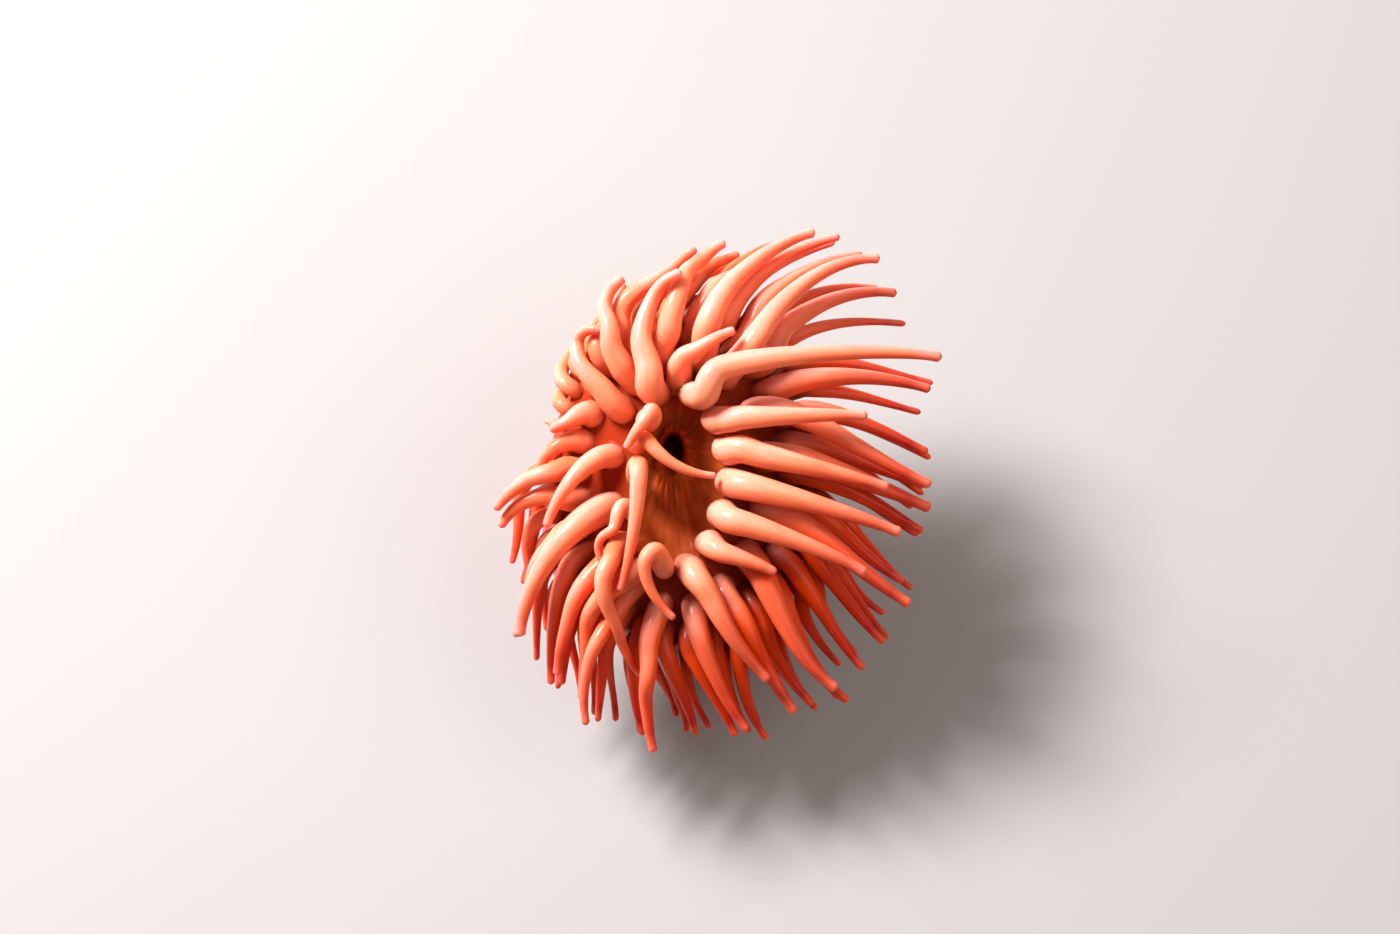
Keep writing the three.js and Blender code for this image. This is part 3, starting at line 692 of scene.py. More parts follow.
@dataclass
class BodySurface:
    """The foot, column, collar, rim, oral disc and mouth as one turned surface."""

    around: int = 144
    low_pieces: int = 2             # steps between two of the outline's points
    high_pieces: int = 3
    foot_share: float = 0.14        # the foot's part of the outline, below share 0
    oval_by: float = 0.75           # the column is round at the foot and oval from this share
    pleats: int = 48                # faint upright pleats on the column
    pleat_height: float = 0.05
    pleat_rise: float = 6.0         # they are whole from one part in this many of the column
    lip_folds: int = 18
    fold_drift: float = 0.6         # how unevenly the folds stand round the mouth
    fold_drifts: int = 3            # and how many times it changes on the way round
    lip_radius: float = 1.6
    lip_width: float = 0.55
    lip_height: float = 0.16
    lip_reach: float = 0.08
    gutter_width: float = 0.06      # a gutter stands at the mouth's top and its bottom
    gutter_depth: float = 0.5
    grooves: int = 24
    groove_radius: float = 3.1
    groove_width: float = 0.8
    groove_depth: float = 0.02
    round_middle: float = 0.8       # the stretch sets in over this radius
    on_axis: float = 0.01           # nearer the axis nothing is stretched
    plate_edge: float = -4.3        # w of the plate's outer edge
    plate_band: float = 0.14        # points this near its surface belong to it
    plate_steps: int = 4
    weld: float = 1e-5

    # The outline has two runs.  Foot and column: radius and share of the body line.
    low_outline: tuple[tuple[float, float], ...] = (
        (0.0, -0.14), (5.0, -0.14), (10.0, -0.14), (13.9, -0.14), (14.5, -0.115), (14.5, -0.07),
        (13.9, -0.03), (13.2, 0.02), (12.4, 0.1), (12.0, 0.2), (11.8, 0.3), (11.75, 0.4),
        (11.8, 0.5), (11.95, 0.6), (12.15, 0.68),
    )
    # Collar, rim, disc and mouth: radius and w.
    high_outline: tuple[tuple[float, float], ...] = (
        (12.4, -9.8), (12.75, -9.6), (13.1, -9.2), (13.3, -8.6), (13.25, -7.9), (12.95, -7.35),
        (12.6, -7.0), (12.5, -6.3), (12.6, -5.2), (12.7, -4.2), (12.4, -3.6), (11.4, -2.8),
        (9.8, -1.9), (8.0, -1.3), (6.4, -0.85), (5.3, -0.6), (4.5, -0.75), (3.9, -1.2), (3.4, -1.75),
        (2.9, -2.15), (2.5, -2.3), (2.2, -2.15), (1.95, -1.85), (1.7, -1.65), (1.45, -1.65),
        (1.2, -1.9), (1.05, -2.3), (0.95, -2.9), (0.8, -3.5), (0.5, -3.9), (0.0, -4.0),
    )

    def outline(self) -> np.ndarray:
        """Joins the two runs.

        Returns:
            Rows of radius, height and run (0 for the column, 1 for the crown).
        """
        low = [(r, h, 0.0) for r, h in self.low_outline]
        high = [(r, w, 1.0) for r, w in self.high_outline]
        return np.array(low + high)

    def refine(self, rows: np.ndarray, pieces: int) -> np.ndarray:
        """Puts smooth in-between rows into one run.

        Args:
            rows: the run's rows.
            pieces: how many steps to put between two rows.

        Returns:
            The finer run.
        """
        where = np.linspace(0, len(rows) - 1, (len(rows) - 1) * pieces + 1)
        fine = curve_through(rows, where)
        fine[:, 0] = np.maximum(fine[:, 0], 0.0)
        return fine

    def mesh(self) -> bpy.types.Mesh:
        """Spins the outline and places every vertex.

        Returns:
            The closed body in the frame's metres.
        """
        rows = self.outline()
        fine = np.vstack([
            self.refine(rows[rows[:, 2] == 0], self.low_pieces),
            self.refine(rows[rows[:, 2] == 1], self.high_pieces),
        ])
        bm = bmesh.new()
        # The second coordinate only carries the row's number through the spin.
        verts = [bm.verts.new((row[0], 0.0, float(i))) for i, row in enumerate(fine)]
        edges = [bm.edges.new(pair) for pair in zip(verts[:-1], verts[1:])]
        bmesh.ops.spin(
            bm, geom=verts + edges, cent=(0, 0, 0), axis=(0, 0, 1), angle=math.tau,
            steps=self.around, use_merge=True, use_duplicate=False,
        )
        bmesh.ops.remove_doubles(bm, verts=bm.verts, dist=self.weld)
        bmesh.ops.recalc_face_normals(bm, faces=bm.faces)
        unit = np.array([v.co for v in bm.verts])
        placed = self.place(unit, fine)
        for vert, point in zip(bm.verts, placed):
            vert.co = point
        bmesh.ops.recalc_face_normals(bm, faces=bm.faces)
        return take_mesh(bm, "body_surface")

    def place(self, unit: np.ndarray, fine: np.ndarray) -> np.ndarray:
        """Moves spun vertices to their place.

        Args:
            unit: x and y round the axis, z the row's number.
            fine: the outline's rows.

        Returns:
            Points in the frame's metres.
        """
        row = np.clip(np.round(unit[:, 2]).astype(int), 0, len(fine) - 1)
        angle = np.arctan2(unit[:, 1], unit[:, 0])
        radius = fine[row, 0]
        height = fine[row, 1]
        out = np.empty_like(unit)
        low = fine[row, 2] == 0
        out[low] = self.place_column(angle[low], radius[low], height[low])
        out[~low] = to_frame(self.place_crown(angle[~low], radius[~low], height[~low]))
        return out

    def on_plate(self, u: np.ndarray, v: np.ndarray, w: np.ndarray) -> np.ndarray:
        """Tells which crown points lie on the plate between the roots.

        Args:
            u: millimetres to the right.
            v: millimetres up the disc.
            w: millimetres out of the disc.

        Returns:
            True for each point on the plate.
        """
        rows = sorted(row for row in self.high_outline if row[1] > self.plate_edge)
        rows = [row for row in rows if row[0] >= DISC_RADIUS]
        radius = np.hypot(u, v)
        for _ in range(self.plate_steps):
            radius = np.hypot(u, v * radius / (radius + OVAL_STRETCH))
        height = np.interp(radius, [row[0] for row in rows], [row[1] for row in rows])
        inside = (radius > DISC_RADIUS) & (radius < rows[-1][0])
        return inside & (np.abs(w - height) < self.plate_band)

    def place_column(self, angle: np.ndarray, radius: np.ndarray, share: np.ndarray) -> np.ndarray:
        """Places the foot's and the column's vertices.

        Args:
            angle: each vertex's angle round the body, in radians.
            radius: its distance from the body line, in millimetres.
            share: its share of the body line.

        Returns:
            Points in the frame's metres.
        """
        line = BodyLine()
        centre, ahead = line.at(np.clip(share, 0, 1))
        below = np.clip(-share, 0, self.foot_share) / self.foot_share
        centre[:, 2] -= below * (FOOT_THICKNESS + CUT)
        stretch = OVAL_STRETCH * smooth_step(share / self.oval_by) * (radius > self.on_axis)
        right = np.array([1.0, 0.0, 0.0])
        back = np.cross(ahead, right)
        upright = self.pleat_height * np.cos(self.pleats * angle)
        reach = radius + upright * smooth_step(share * self.pleat_rise)
        x = (reach * np.cos(angle))[:, None] * right
        y = ((reach + stretch) * np.sin(angle))[:, None] * back
        return (centre + x + y) * MM

    def place_crown(self, angle: np.ndarray, radius: np.ndarray, w: np.ndarray) -> np.ndarray:
        """Places the collar's, rim's, disc's and mouth's vertices.

        Args:
            angle: each vertex's angle round the crown, in radians.
            radius: its distance from the crown's axis, in millimetres.
            w: its height out of the disc.

        Returns:
            Rows of u, v, w in crown millimetres.
        """
        inner = 1 - smooth_step(radius / DISC_RADIUS)
        stretch = OVAL_STRETCH * (1 - inner) + MOUTH_STRETCH * inner
        stretch = stretch * smooth_step(radius / self.round_middle)
        middle_u = MOUTH_UV[0] * inner
        middle_v = MOUTH_UV[1] * inner
        on_lip = np.exp(-((radius - self.lip_radius) / self.lip_width) ** 2)
        on_disc = np.exp(-((radius - self.groove_radius) / self.groove_width) ** 2)
        fold = np.cos(self.lip_folds * angle + self.fold_drift * np.sin(self.fold_drifts * angle))
        groove = np.cos(self.grooves * angle)
        lifted = w + self.lip_height * fold * on_lip + self.groove_depth * groove * on_disc
        gutter = np.exp(-((np.abs(np.sin(angle)) - 1) / self.gutter_width) ** 2)
        lifted = lifted - self.gutter_depth * gutter * on_lip
        reach = radius + self.lip_reach * fold * on_lip
        u = middle_u + reach * np.cos(angle)
        v = middle_v + (reach + stretch) * np.sin(angle)
        return np.stack([u, v, lifted], axis=1)


@dataclass
class SkinPlaces:
    """Where points of the skin lie: on which tentacle, and how."""

    owner: np.ndarray       # the tentacle's number
    share: np.ndarray       # how far along it, 0 to 1
    side: np.ndarray        # millimetres across it: right and up
    gap: np.ndarray         # millimetres off its own surface
    crowd: np.ndarray       # how closely other tentacles stand round the point


class TentacleFinder:
    """Finds the tentacle that each point of the skin belongs to."""

    COARSE_EVERY = 4
    BLOCK = 3000            # points looked up at a time
    CROWD_REACH = 1.5       # millimetres within which other tentacles crowd a point

    def __init__(self, tentacles: list[Tentacle]) -> None:
        """Steps every centre line finely.

        Args:
            tentacles: the whole crown.
        """
        lines = [FineLine(tentacle) for tentacle in tentacles]
        self.share = lines[0].share
        self.points = np.stack([line.points for line in lines])
        self.right = np.stack([line.right for line in lines])
        self.up = np.stack([line.up for line in lines])
        girths = np.array([tentacle.girth for tentacle in tentacles])
        self.girth = radius_along(girths[:, None], self.share)

    def find(self, where: np.ndarray) -> SkinPlaces:
        """Finds the places of points.

        Args:
            where: rows of u, v, w.

        Returns:
            Their places.
        """
        blocks = [self.find_block(where[i:i + self.BLOCK]) for i in range(0, len(where), self.BLOCK)]
        return SkinPlaces(*(np.concatenate(values) for values in zip(*blocks)))

    def find_block(self, where: np.ndarray) -> tuple[np.ndarray, ...]:
        """Finds the places of a few points.

        Args:
            where: rows of u, v, w.

        Returns:
            The fields of SkinPlaces, in order.
        """
        coarse = self.points[:, ::self.COARSE_EVERY]
        per_line = coarse.shape[1]
        flat = coarse.reshape(-1, 3)
        girth = self.girth[:, ::self.COARSE_EVERY].ravel()
        square = (where ** 2).sum(axis=1)[:, None] + (flat ** 2).sum(axis=1) - 2 * where @ flat.T
        square = np.maximum(square, 0).astype(np.float32)
        best = np.abs(np.sqrt(square) - girth).argmin(axis=1)
        owner = best // per_line
        rows = np.arange(len(where))
        near = np.exp(-square / self.CROWD_REACH ** 2)
        near = near.reshape(len(where), -1, per_line).sum(axis=2)
        crowd = near.sum(axis=1) - near[rows, owner]
        middle = (best % per_line) * self.COARSE_EVERY
        steps = middle[:, None] + np.arange(-self.COARSE_EVERY, self.COARSE_EVERY + 1)
        steps = np.clip(steps, 0, len(self.share) - 1)
        apart = np.linalg.norm(self.points[owner[:, None], steps] - where[:, None], axis=2)
        step = steps[rows, apart.argmin(axis=1)]
        offset = where - self.points[owner, step]
        right = (offset * self.right[owner, step]).sum(axis=1)
        up = (offset * self.up[owner, step]).sum(axis=1)
        gap = apart.min(axis=1) - self.girth[owner, step]
        return owner, self.share[step], np.stack([right, up], axis=1), gap, crowd


def spread(mesh: bpy.types.Mesh, values: np.ndarray, passes: int) -> np.ndarray:
    """Evens values out over a mesh, from each point to its neighbours.

    Args:
        mesh: the mesh.
        values: one for each vertex.
        passes: how many times.

    Returns:
        The evened values.
    """
    ends = np.empty(len(mesh.edges) * 2, int)
    mesh.edges.foreach_get("vertices", ends)
    first, second = ends[0::2], ends[1::2]
    count = len(mesh.vertices)
    ways = np.bincount(ends, minlength=count) + 1
    for _ in range(passes):
        total = values + np.bincount(first, values[second], count)
        total += np.bincount(second, values[first], count)
        values = total / ways
    return values


def add_node(
    tree: Tree, kind: str, settings: dict[str, object] | None = None, **links: Socket,
) -> bpy.types.Node:
    """Adds a shader node with its settings and links.

    Args:
        tree: the material's node tree.
        kind: the node's type.
        settings: properties of the node, or values of its inputs by name.
        links: sockets to link, by input name with _ for a blank.

    Returns:
        The node.
    """
    node = tree.nodes.new(kind)
    for name, value in (settings or {}).items():
        if name in node.inputs:
            node.inputs[name].default_value = value
        else:
            setattr(node, name, value)
    for name, socket in links.items():
        tree.links.new(socket, node.inputs[name.replace("_", " ")])
    return node


def ramped(tree: Tree, factor: Socket, stops: Stops) -> Socket:
    """Adds a colour ramp.

    Args:
        tree: the material's node tree.
        factor: the socket that the ramp reads.
        stops: position and sRGB hex of each.

    Returns:
        The ramp's colour.
    """
    node = add_node(tree, "ShaderNodeValToRGB", Fac=factor)
    elements = node.color_ramp.elements
    while len(elements) > 1:
        elements.remove(elements[-1])
    elements[0].position, elements[0].color = stops[0][0], srgb(stops[0][1])
    for position, code in stops[1:]:
        elements.new(position).color = srgb(code)
    return node.outputs["Color"]


def mixed(
    tree: Tree, share: Socket | float, under: Socket, over: Socket | str, blend: str = "MIX",
) -> Socket:
    """Lays one colour over another.

    Args:
        tree: the material's node tree.
        share: how much of the upper one shows.
        under: the lower colour.
        over: the upper colour, a socket or an sRGB hex.
        blend: how the two are blended.

    Returns:
        The mixed colour.
    """
    node = add_node(tree, "ShaderNodeMix", {"data_type": "RGBA", "blend_type": blend})
    factor, lower, upper = node.inputs[0], node.inputs[6], node.inputs[7]
    if isinstance(share, float):
        factor.default_value = share
    else:
        tree.links.new(share, factor)
    tree.links.new(under, lower)
    if isinstance(over, str):
        upper.default_value = srgb(over)
    else:
        tree.links.new(over, upper)
    return node.outputs[2]


def noise(tree: Tree, place: Socket, scale: float, detail: float) -> Socket:
    """Adds a cloudy noise over a place, and returns its value."""
    settings = {"Scale": scale, "Detail": detail}
    return add_node(tree, "ShaderNodeTexNoise", settings, Vector=place).outputs["Fac"]


def new_material(
    name: str, settings: dict[str, object],
) -> tuple[bpy.types.Material, Tree, bpy.types.bpy_prop_collection]:
    """Starts a material.

    Args:
        name: its name.
        settings: values that are the same all over, by the shader's socket.

    Returns:
        The material, its node tree and the shader's inputs.
    """
    material = bpy.data.materials.new(name)
    material.use_nodes = True
    inputs = material.node_tree.nodes["Principled BSDF"].inputs
    for socket, value in settings.items():
        inputs[socket].default_value = value
    return material, material.node_tree, inputs


def attribute(tree: Tree, name: str, output: str = "Fac") -> Socket:
    """Returns one of the skin's attributes, as a node's output."""
    return add_node(tree, "ShaderNodeAttribute", {"attribute_name": name}).outputs[output]


@dataclass(frozen=True)
class AnemoneFlesh:
    """Living anemone flesh: wet, smooth and half clear, so light glows through its edges.

    Tones along a tentacle run from its root (0) to its tip (1).
    """

    roughness: float = 0.4
    disc_roughness: float = 0.7
    index: float = 1.38                                         # close to water
    specular: float = 0.15
    coat: float = 0.28
    disc_coat: float = 0.03
    coat_roughness: float = 0.12
    glow: float = 0.8
    glow_colour: tuple[float, float, float] = (1.0, 0.28, 0.12)  # red light goes deepest
    glow_depth: float = 1.1 * MM
    bright: Stops = (
        (0.0, "#f08a50"), (0.08, "#f8a076"), (0.3, "#f89a6e"), (0.7, "#f68a5e"), (0.88, "#f47c50"),
        (0.97, "#f8947c"), (1.0, "#fbaca0"),
    )
    # Painted shade: the darker, redder tones of the flesh where it lies in shade, from root to tip.
    shaded_tones: Stops = (
        (0.0, "#8c1400"), (0.3, "#e44800"), (0.8, "#cc2a00"), (0.88, "#b81a00"), (0.98, "#d4481c"),
        (1.0, "#e66c48"),
    )
    # Painted highlight: pale pink on the side towards the main light.
    painted_highlight: str = "#ffb6b6"
    streak_scale: float = 1.6
    streak_tones: Stops = ((0.32, "#e9d6ce"), (0.68, "#ffffff"))
    streak_share: float = 0.6
    disc: Stops = ((0.35, "#9a4014"), (0.6, "#ac4c18"), (0.78, "#c06a2e"))
    # Between the roots the plate is redder: partly its own red, partly painted shade.
    between_roots_red_and_shade: str = "#9c2c08"
    # Red lips, round a throat painted nearly black: painted shade in the mouth's hollow.
    lips: Stops = ((0.3, "#a02208"), (0.65, "#8a140a"), (1.0, "#260302"))
    mottle_scale: float = 420.0                                 # patches of about 2.4 mm
    column: Stops = ((0.3, "#9c3019"), (0.5, "#b8412a"), (0.72, "#cc5c3c"))
    foot_blue: str = "#3f7fc8"
    crease_scale: float = 4.0
    crease_strength: float = 0.12
    crease_height: float = 0.12 * MM

    def material(self) -> bpy.types.Material:
        """Builds the flesh.

        Returns:
            The material.
        """
        material, tree, shader = new_material("wet_anemone_flesh", {
            "IOR": self.index, "Specular IOR Level": self.specular,
            "Coat Roughness": self.coat_roughness, "Subsurface Weight": self.glow,
            "Subsurface Radius": self.glow_colour, "Subsurface Scale": self.glow_depth,
        })
        zone = attribute(tree, "zone", "Color")
        zones = add_node(tree, "ShaderNodeSeparateColor", Color=zone).outputs
        lie = attribute(tree, "lie", "Vector")
        tree.links.new(self.colour(tree, zones, lie), shader["Base Color"])
        # The disc shines less than the tentacles.
        for name, on_tentacle, on_disc in (
            ("Roughness", self.roughness, self.disc_roughness),
            ("Coat Weight", self.coat, self.disc_coat),
        ):
            ends = {"To Min": on_tentacle, "To Max": on_disc}
            shine = add_node(tree, "ShaderNodeMapRange", ends, Value=zones["Red"])
            tree.links.new(shine.outputs["Result"], shader[name])
        # Fine creases, about 0.25 mm apart.
        creases = noise(tree, lie, self.crease_scale, detail=3.0)
        settings = {"Strength": self.crease_strength, "Distance": self.crease_height}
        bump = add_node(tree, "ShaderNodeBump", settings, Height=creases)
        tree.links.new(bump.outputs["Normal"], shader["Normal"])
        return material

    def colour(self, tree: Tree, zones: bpy.types.bpy_prop_collection, lie: Socket) -> Socket:
        """Builds the colour of the whole skin, zone by zone, with painted shade and a painted highlight
        on the tentacles.

        Args:
            tree: the material's node tree.
            zones: Red is the disc, Green the mouth and Blue the column.
            lie: millimetres across and along, for the streaks.

        Returns:
            The colour.
        """
        # Faint lengthwise streaks, about 0.5 mm wide, where the muscle shows through.
        streaks = noise(tree, lie, self.streak_scale, detail=3.0)
        along = attribute(tree, "along")
        bright = ramped(tree, along, self.bright)
        shaded_tones = ramped(tree, along, self.shaded_tones)
        # Painted shade: the flesh is mixed towards the darker, redder tones away from the light, on the
        # far side and between crowded tentacles.
        colour = mixed(tree, attribute(tree, "painted_shade"), bright, shaded_tones)
        # Painted highlight: the side that faces the main light is painted pale pink.
        colour = mixed(tree, attribute(tree, "painted_highlight"), colour, self.painted_highlight)
        streak_tone = ramped(tree, streaks, self.streak_tones)
        colour = mixed(tree, self.streak_share, colour, streak_tone, "MULTIPLY")
        # The disc is brown-orange with pale streaks towards the mouth, and redder between roots: partly
        # the plate's own red, partly painted shade.
        disc = ramped(tree, streaks, self.disc)
        disc = mixed(tree, attribute(tree, "between"), disc, self.between_roots_red_and_shade)
        colour = mixed(tree, zones["Red"], colour, disc)
        # The mouth has red lips round a throat painted nearly black, painted shade in its hollow.
        lips = ramped(tree, zones["Green"], self.lips)
        colour = mixed(tree, zones["Green"], colour, lips)
        # The column is brick red, finely mottled.
        place = add_node(tree, "ShaderNodeTexCoord").outputs["Object"]
        mottle = noise(tree, place, self.mottle_scale, detail=4.0)
        colour = mixed(tree, zones["Blue"], colour, ramped(tree, mottle, self.column))
        # A thin blue line runs round the foot's edge.
        return mixed(tree, attribute(tree, "foot_line"), colour, self.foot_blue)


@dataclass(frozen=True)
class BeadBlue:
    """The stinging beads: wet, opaque blue flesh with a paler crown."""

    roughness: float = 0.25
    glow: float = 0.3
    glow_colour: tuple[float, float, float] = (0.4, 0.6, 1.0)
    glow_depth: float = 0.5 * MM
    cloud_scale: float = 900.0                                  # clouds of about 1.1 mm
    tones: Stops = ((0.35, "#2c62b8"), (0.65, "#5aa0e6"))

    def material(self) -> bpy.types.Material:
        """Builds the blue.

        Returns:
            The material.
        """
        material, tree, shader = new_material("blue_stinging_bead", {
            "Roughness": self.roughness, "Subsurface Weight": self.glow,
            "Subsurface Radius": self.glow_colour, "Subsurface Scale": self.glow_depth,
        })
        place = add_node(tree, "ShaderNodeTexCoord").outputs["Object"]
        cloud = noise(tree, place, self.cloud_scale, detail=2.0)
        tree.links.new(ramped(tree, cloud, self.tones), shader["Base Color"])
        return material


@dataclass
class BeadRing:
    """The ring of stinging beads on the collar, in crown millimetres."""

    count: int = 16
    radius: float = 0.7
    ring_radius: float = 12.85
    ring_w: float = -7.0
    unevenness: float = 0.12
    flatness: float = 0.9
    blue: BeadBlue = field(default_factory=BeadBlue)

    def build(self) -> bpy.types.Object:
        """Makes and dresses the beads.

        Returns:
            The beads, one object.
        """
        bm = bmesh.new()
        matrix = crown_matrix()
        for i in range(self.count):
            angle = math.tau / self.count * (i + 0.5)
            size = self.radius * (1 + self.unevenness * TentacleLayout.waver(i, Purpose.BEAD))
            place = Matrix.Translation((
                self.ring_radius * math.cos(angle),
                (self.ring_radius + OVAL_STRETCH) * math.sin(angle),
                self.ring_w,
            ))
            squash = Matrix.Diagonal((size, size, size * self.flatness, 1))
            bmesh.ops.create_icosphere(bm, subdivisions=3, radius=1, matrix=matrix @ place @ squash)
        mesh = take_mesh(bm, "beads")
        mesh.shade_smooth()
        mesh.materials.append(self.blue.material())
        return add_object("beads", mesh)


@dataclass(frozen=True)
class FleshShade:
    """Painted shade and a painted highlight on the flesh, by place and by facing to the light.

    Near is the crown's upper left, towards the main light, and far its lower right, away from it.
    The facing is that towards the main light, from -1 to 1.
    """

    ring_shade: tuple[float, ...] = (0.0, 0.1, 0.34, 0.66)     # painted shade by ring, deeper on the outer rings; partly their own redder colour
    near_share: float = 0.2         # how much of the ring's painted shade shows on the near, lit side
    far_share: float = 1.25         # and on the far, shaded one
    far_shade: float = 0.42         # painted shade added on the far side, away from the light
    raised_light: float = 0.03        # painted light: paler for each millimetre out of the disc
    highest: float = 8.0            # and no paler above this
    under_shade: float = 0.4        # painted shade on the side away from the light
    even_facing: float = 0.3        # the facing that adds nothing
    crowd_shade: float = 0.11       # painted shade between crowded tentacles
    most_crowded: float = 6.0
    near_shade: float = 0.42        # how much of the whole painted shade shows on the near side
    painted_highlight: float = 0.62             # painted highlight on the side towards the light
    highlight_from: float = 0.3         # the facing at which the painted highlight starts
    highlight_over: float = 0.6         # and the rise in facing that makes it whole
    far_fade: float = 0.6           # share of the painted highlight that the far side loses
    crowd_fade: float = 0.3         # and the share lost to each crowding tentacle
    to_right: float = 0.7           # the way from the near, lit side to the far, shaded one
    to_bottom: float = 0.75
    reach: float = 30.0             # millimetres from one to the other
    passes: int = 3                 # how often the values are evened out

    def far(self, u: np.ndarray, v: np.ndarray) -> np.ndarray:
        """Returns 0 on the near side of the crown, towards the main light, to 1 on the far, shaded side.
        """
        return np.clip(0.5 + (self.to_right * u - self.to_bottom * v) / self.reach, 0, 1)

    def pale(
        self, mesh: bpy.types.Mesh, crowd: np.ndarray, far: np.ndarray, facing: np.ndarray,
    ) -> np.ndarray:
        """Works out the painted highlight, on the side that faces the main light.

        Args:
            mesh: the skin's mesh.
            crowd: how crowded each vertex is.
            far: how far over it lies.
            facing: how it faces the light.

        Returns:
            The painted highlight of each vertex.
        """
        open_air = np.clip(1 - self.crowd_fade * spread(mesh, crowd, self.passes), 0, 1)
        rise = smooth_step((facing - self.highlight_from) / self.highlight_over)
        return self.painted_highlight * rise * (1 - self.far_fade * far) * open_air

    def painted_shade(
        self, mesh: bpy.types.Mesh, ring: np.ndarray, crowd: np.ndarray, far: np.ndarray,
        facing: np.ndarray, w: np.ndarray,
    ) -> np.ndarray:
        """Works out the painted shade: away from the light, on the far side, between crowded tentacles
        and on the outer rings.

        Args:
            mesh: the skin's mesh.
            ring: each vertex's ring.
            crowd: how crowded it is.
            far: how far over it lies.
            facing: how it faces the light.
            w: its height out of the disc.

        Returns:
            The painted shade at each vertex, 0 to 1.
        """
        own = np.array(self.ring_shade)[ring]
        depth = own * (self.near_share + (self.far_share - self.near_share) * far)
        depth += self.far_shade * far - self.raised_light * np.clip(w, 0, self.highest)
        depth += self.under_shade * (self.even_facing - facing)
        depth += self.crowd_shade * np.clip(crowd, 0, self.most_crowded)
        depth = np.clip(spread(mesh, depth, self.passes), 0, 1)
        return (1 - (1 - depth) ** 2) * (self.near_shade + (1 - self.near_shade) * far)


@dataclass(frozen=True)
class BodyZones:
    """Where the body's colours start and stop, in crown millimetres."""

    own_share: float = 0.1          # a tentacle's skin lies this near its own surface, by girth
    own_slack: float = 0.05         # and this much besides
    edge_passes: int = 2            # how often the body's edge is evened out
    mouth_half: tuple[float, float] = (1.9, 2.7)
    mouth_edge: float = 1.05        # in half sizes
    mouth_fade: float = 0.6
    column_top: float = -4.4        # w
    column_fade: float = 1.2
    disc_v: float = -0.5
    disc_half: tuple[float, float] = (5.0, 8.6)
    disc_edge: float = 0.85         # in half sizes
    disc_fade: float = 0.3
    line_height: float = 0.9        # of the blue line, above the floor
    line_width: float = 0.28
    streaks_round: float = 5.0      # how closely the disc's streaks stand round the mouth
    streaks_out: float = 0.2        # and how slowly they change outwards
    along_tentacle: float = 4.0     # how slowly streaks change along a tentacle
    between_tentacles: float = 3.7  # and how far apart two tentacles' streaks are

    def mouth(self, u: np.ndarray, v: np.ndarray) -> np.ndarray:
        """Finds the mouth.

        Args:
            u: millimetres to the right.
            v: millimetres up the disc.

        Returns:
            1 in the mouth, fading to 0 at the lips' edge.
        """
        across = (u - MOUTH_UV[0]) / self.mouth_half[0]
        upward = (v - MOUTH_UV[1]) / self.mouth_half[1]
        return smooth_step((self.mouth_edge - np.hypot(across, upward)) / self.mouth_fade)

    def column(self, w: np.ndarray) -> np.ndarray:
        """Returns 1 on the collar, column and foot, and 0 on the disc."""
        return smooth_step((self.column_top - w) / self.column_fade)

    def between(self, u: np.ndarray, v: np.ndarray) -> np.ndarray:
        """Returns 1 between the tentacles' roots, where the plate is redder, partly as painted shade, and
        0 on the open disc.
        """
        out = np.hypot(u / self.disc_half[0], (v - self.disc_v) / self.disc_half[1])
        return smooth_step((out - self.disc_edge) / self.disc_fade)

    def line(self, height: np.ndarray) -> np.ndarray:
        """Returns 1 on the foot's blue line, from the height above the floor."""
        return np.exp(-((height - self.line_height) / self.line_width) ** 2)

    def lie(
        self, u: np.ndarray, v: np.ndarray, places: SkinPlaces, on_body: np.ndarray,
    ) -> np.ndarray:
        """Lays out the streaks: along the tentacles, and out from the mouth on the disc.

        Args:
            u: millimetres to the right.
            v: millimetres up the disc.
            places: where each vertex lies on the tentacles.
            on_body: True for each vertex of the body.

        Returns:
            The streaks' coordinates at each vertex.
        """
        along = places.share * self.along_tentacle + places.owner * self.between_tentacles
        lie = np.column_stack([places.side, along])
        angle = np.arctan2(v - MOUTH_UV[1], u - MOUTH_UV[0])
        out = np.hypot(u - MOUTH_UV[0], v - MOUTH_UV[1]) * self.streaks_out
        circle = np.stack([np.cos(angle), np.sin(angle)], axis=1) * self.streaks_round
        lie[on_body] = np.column_stack([circle, out])[on_body]
        return lie


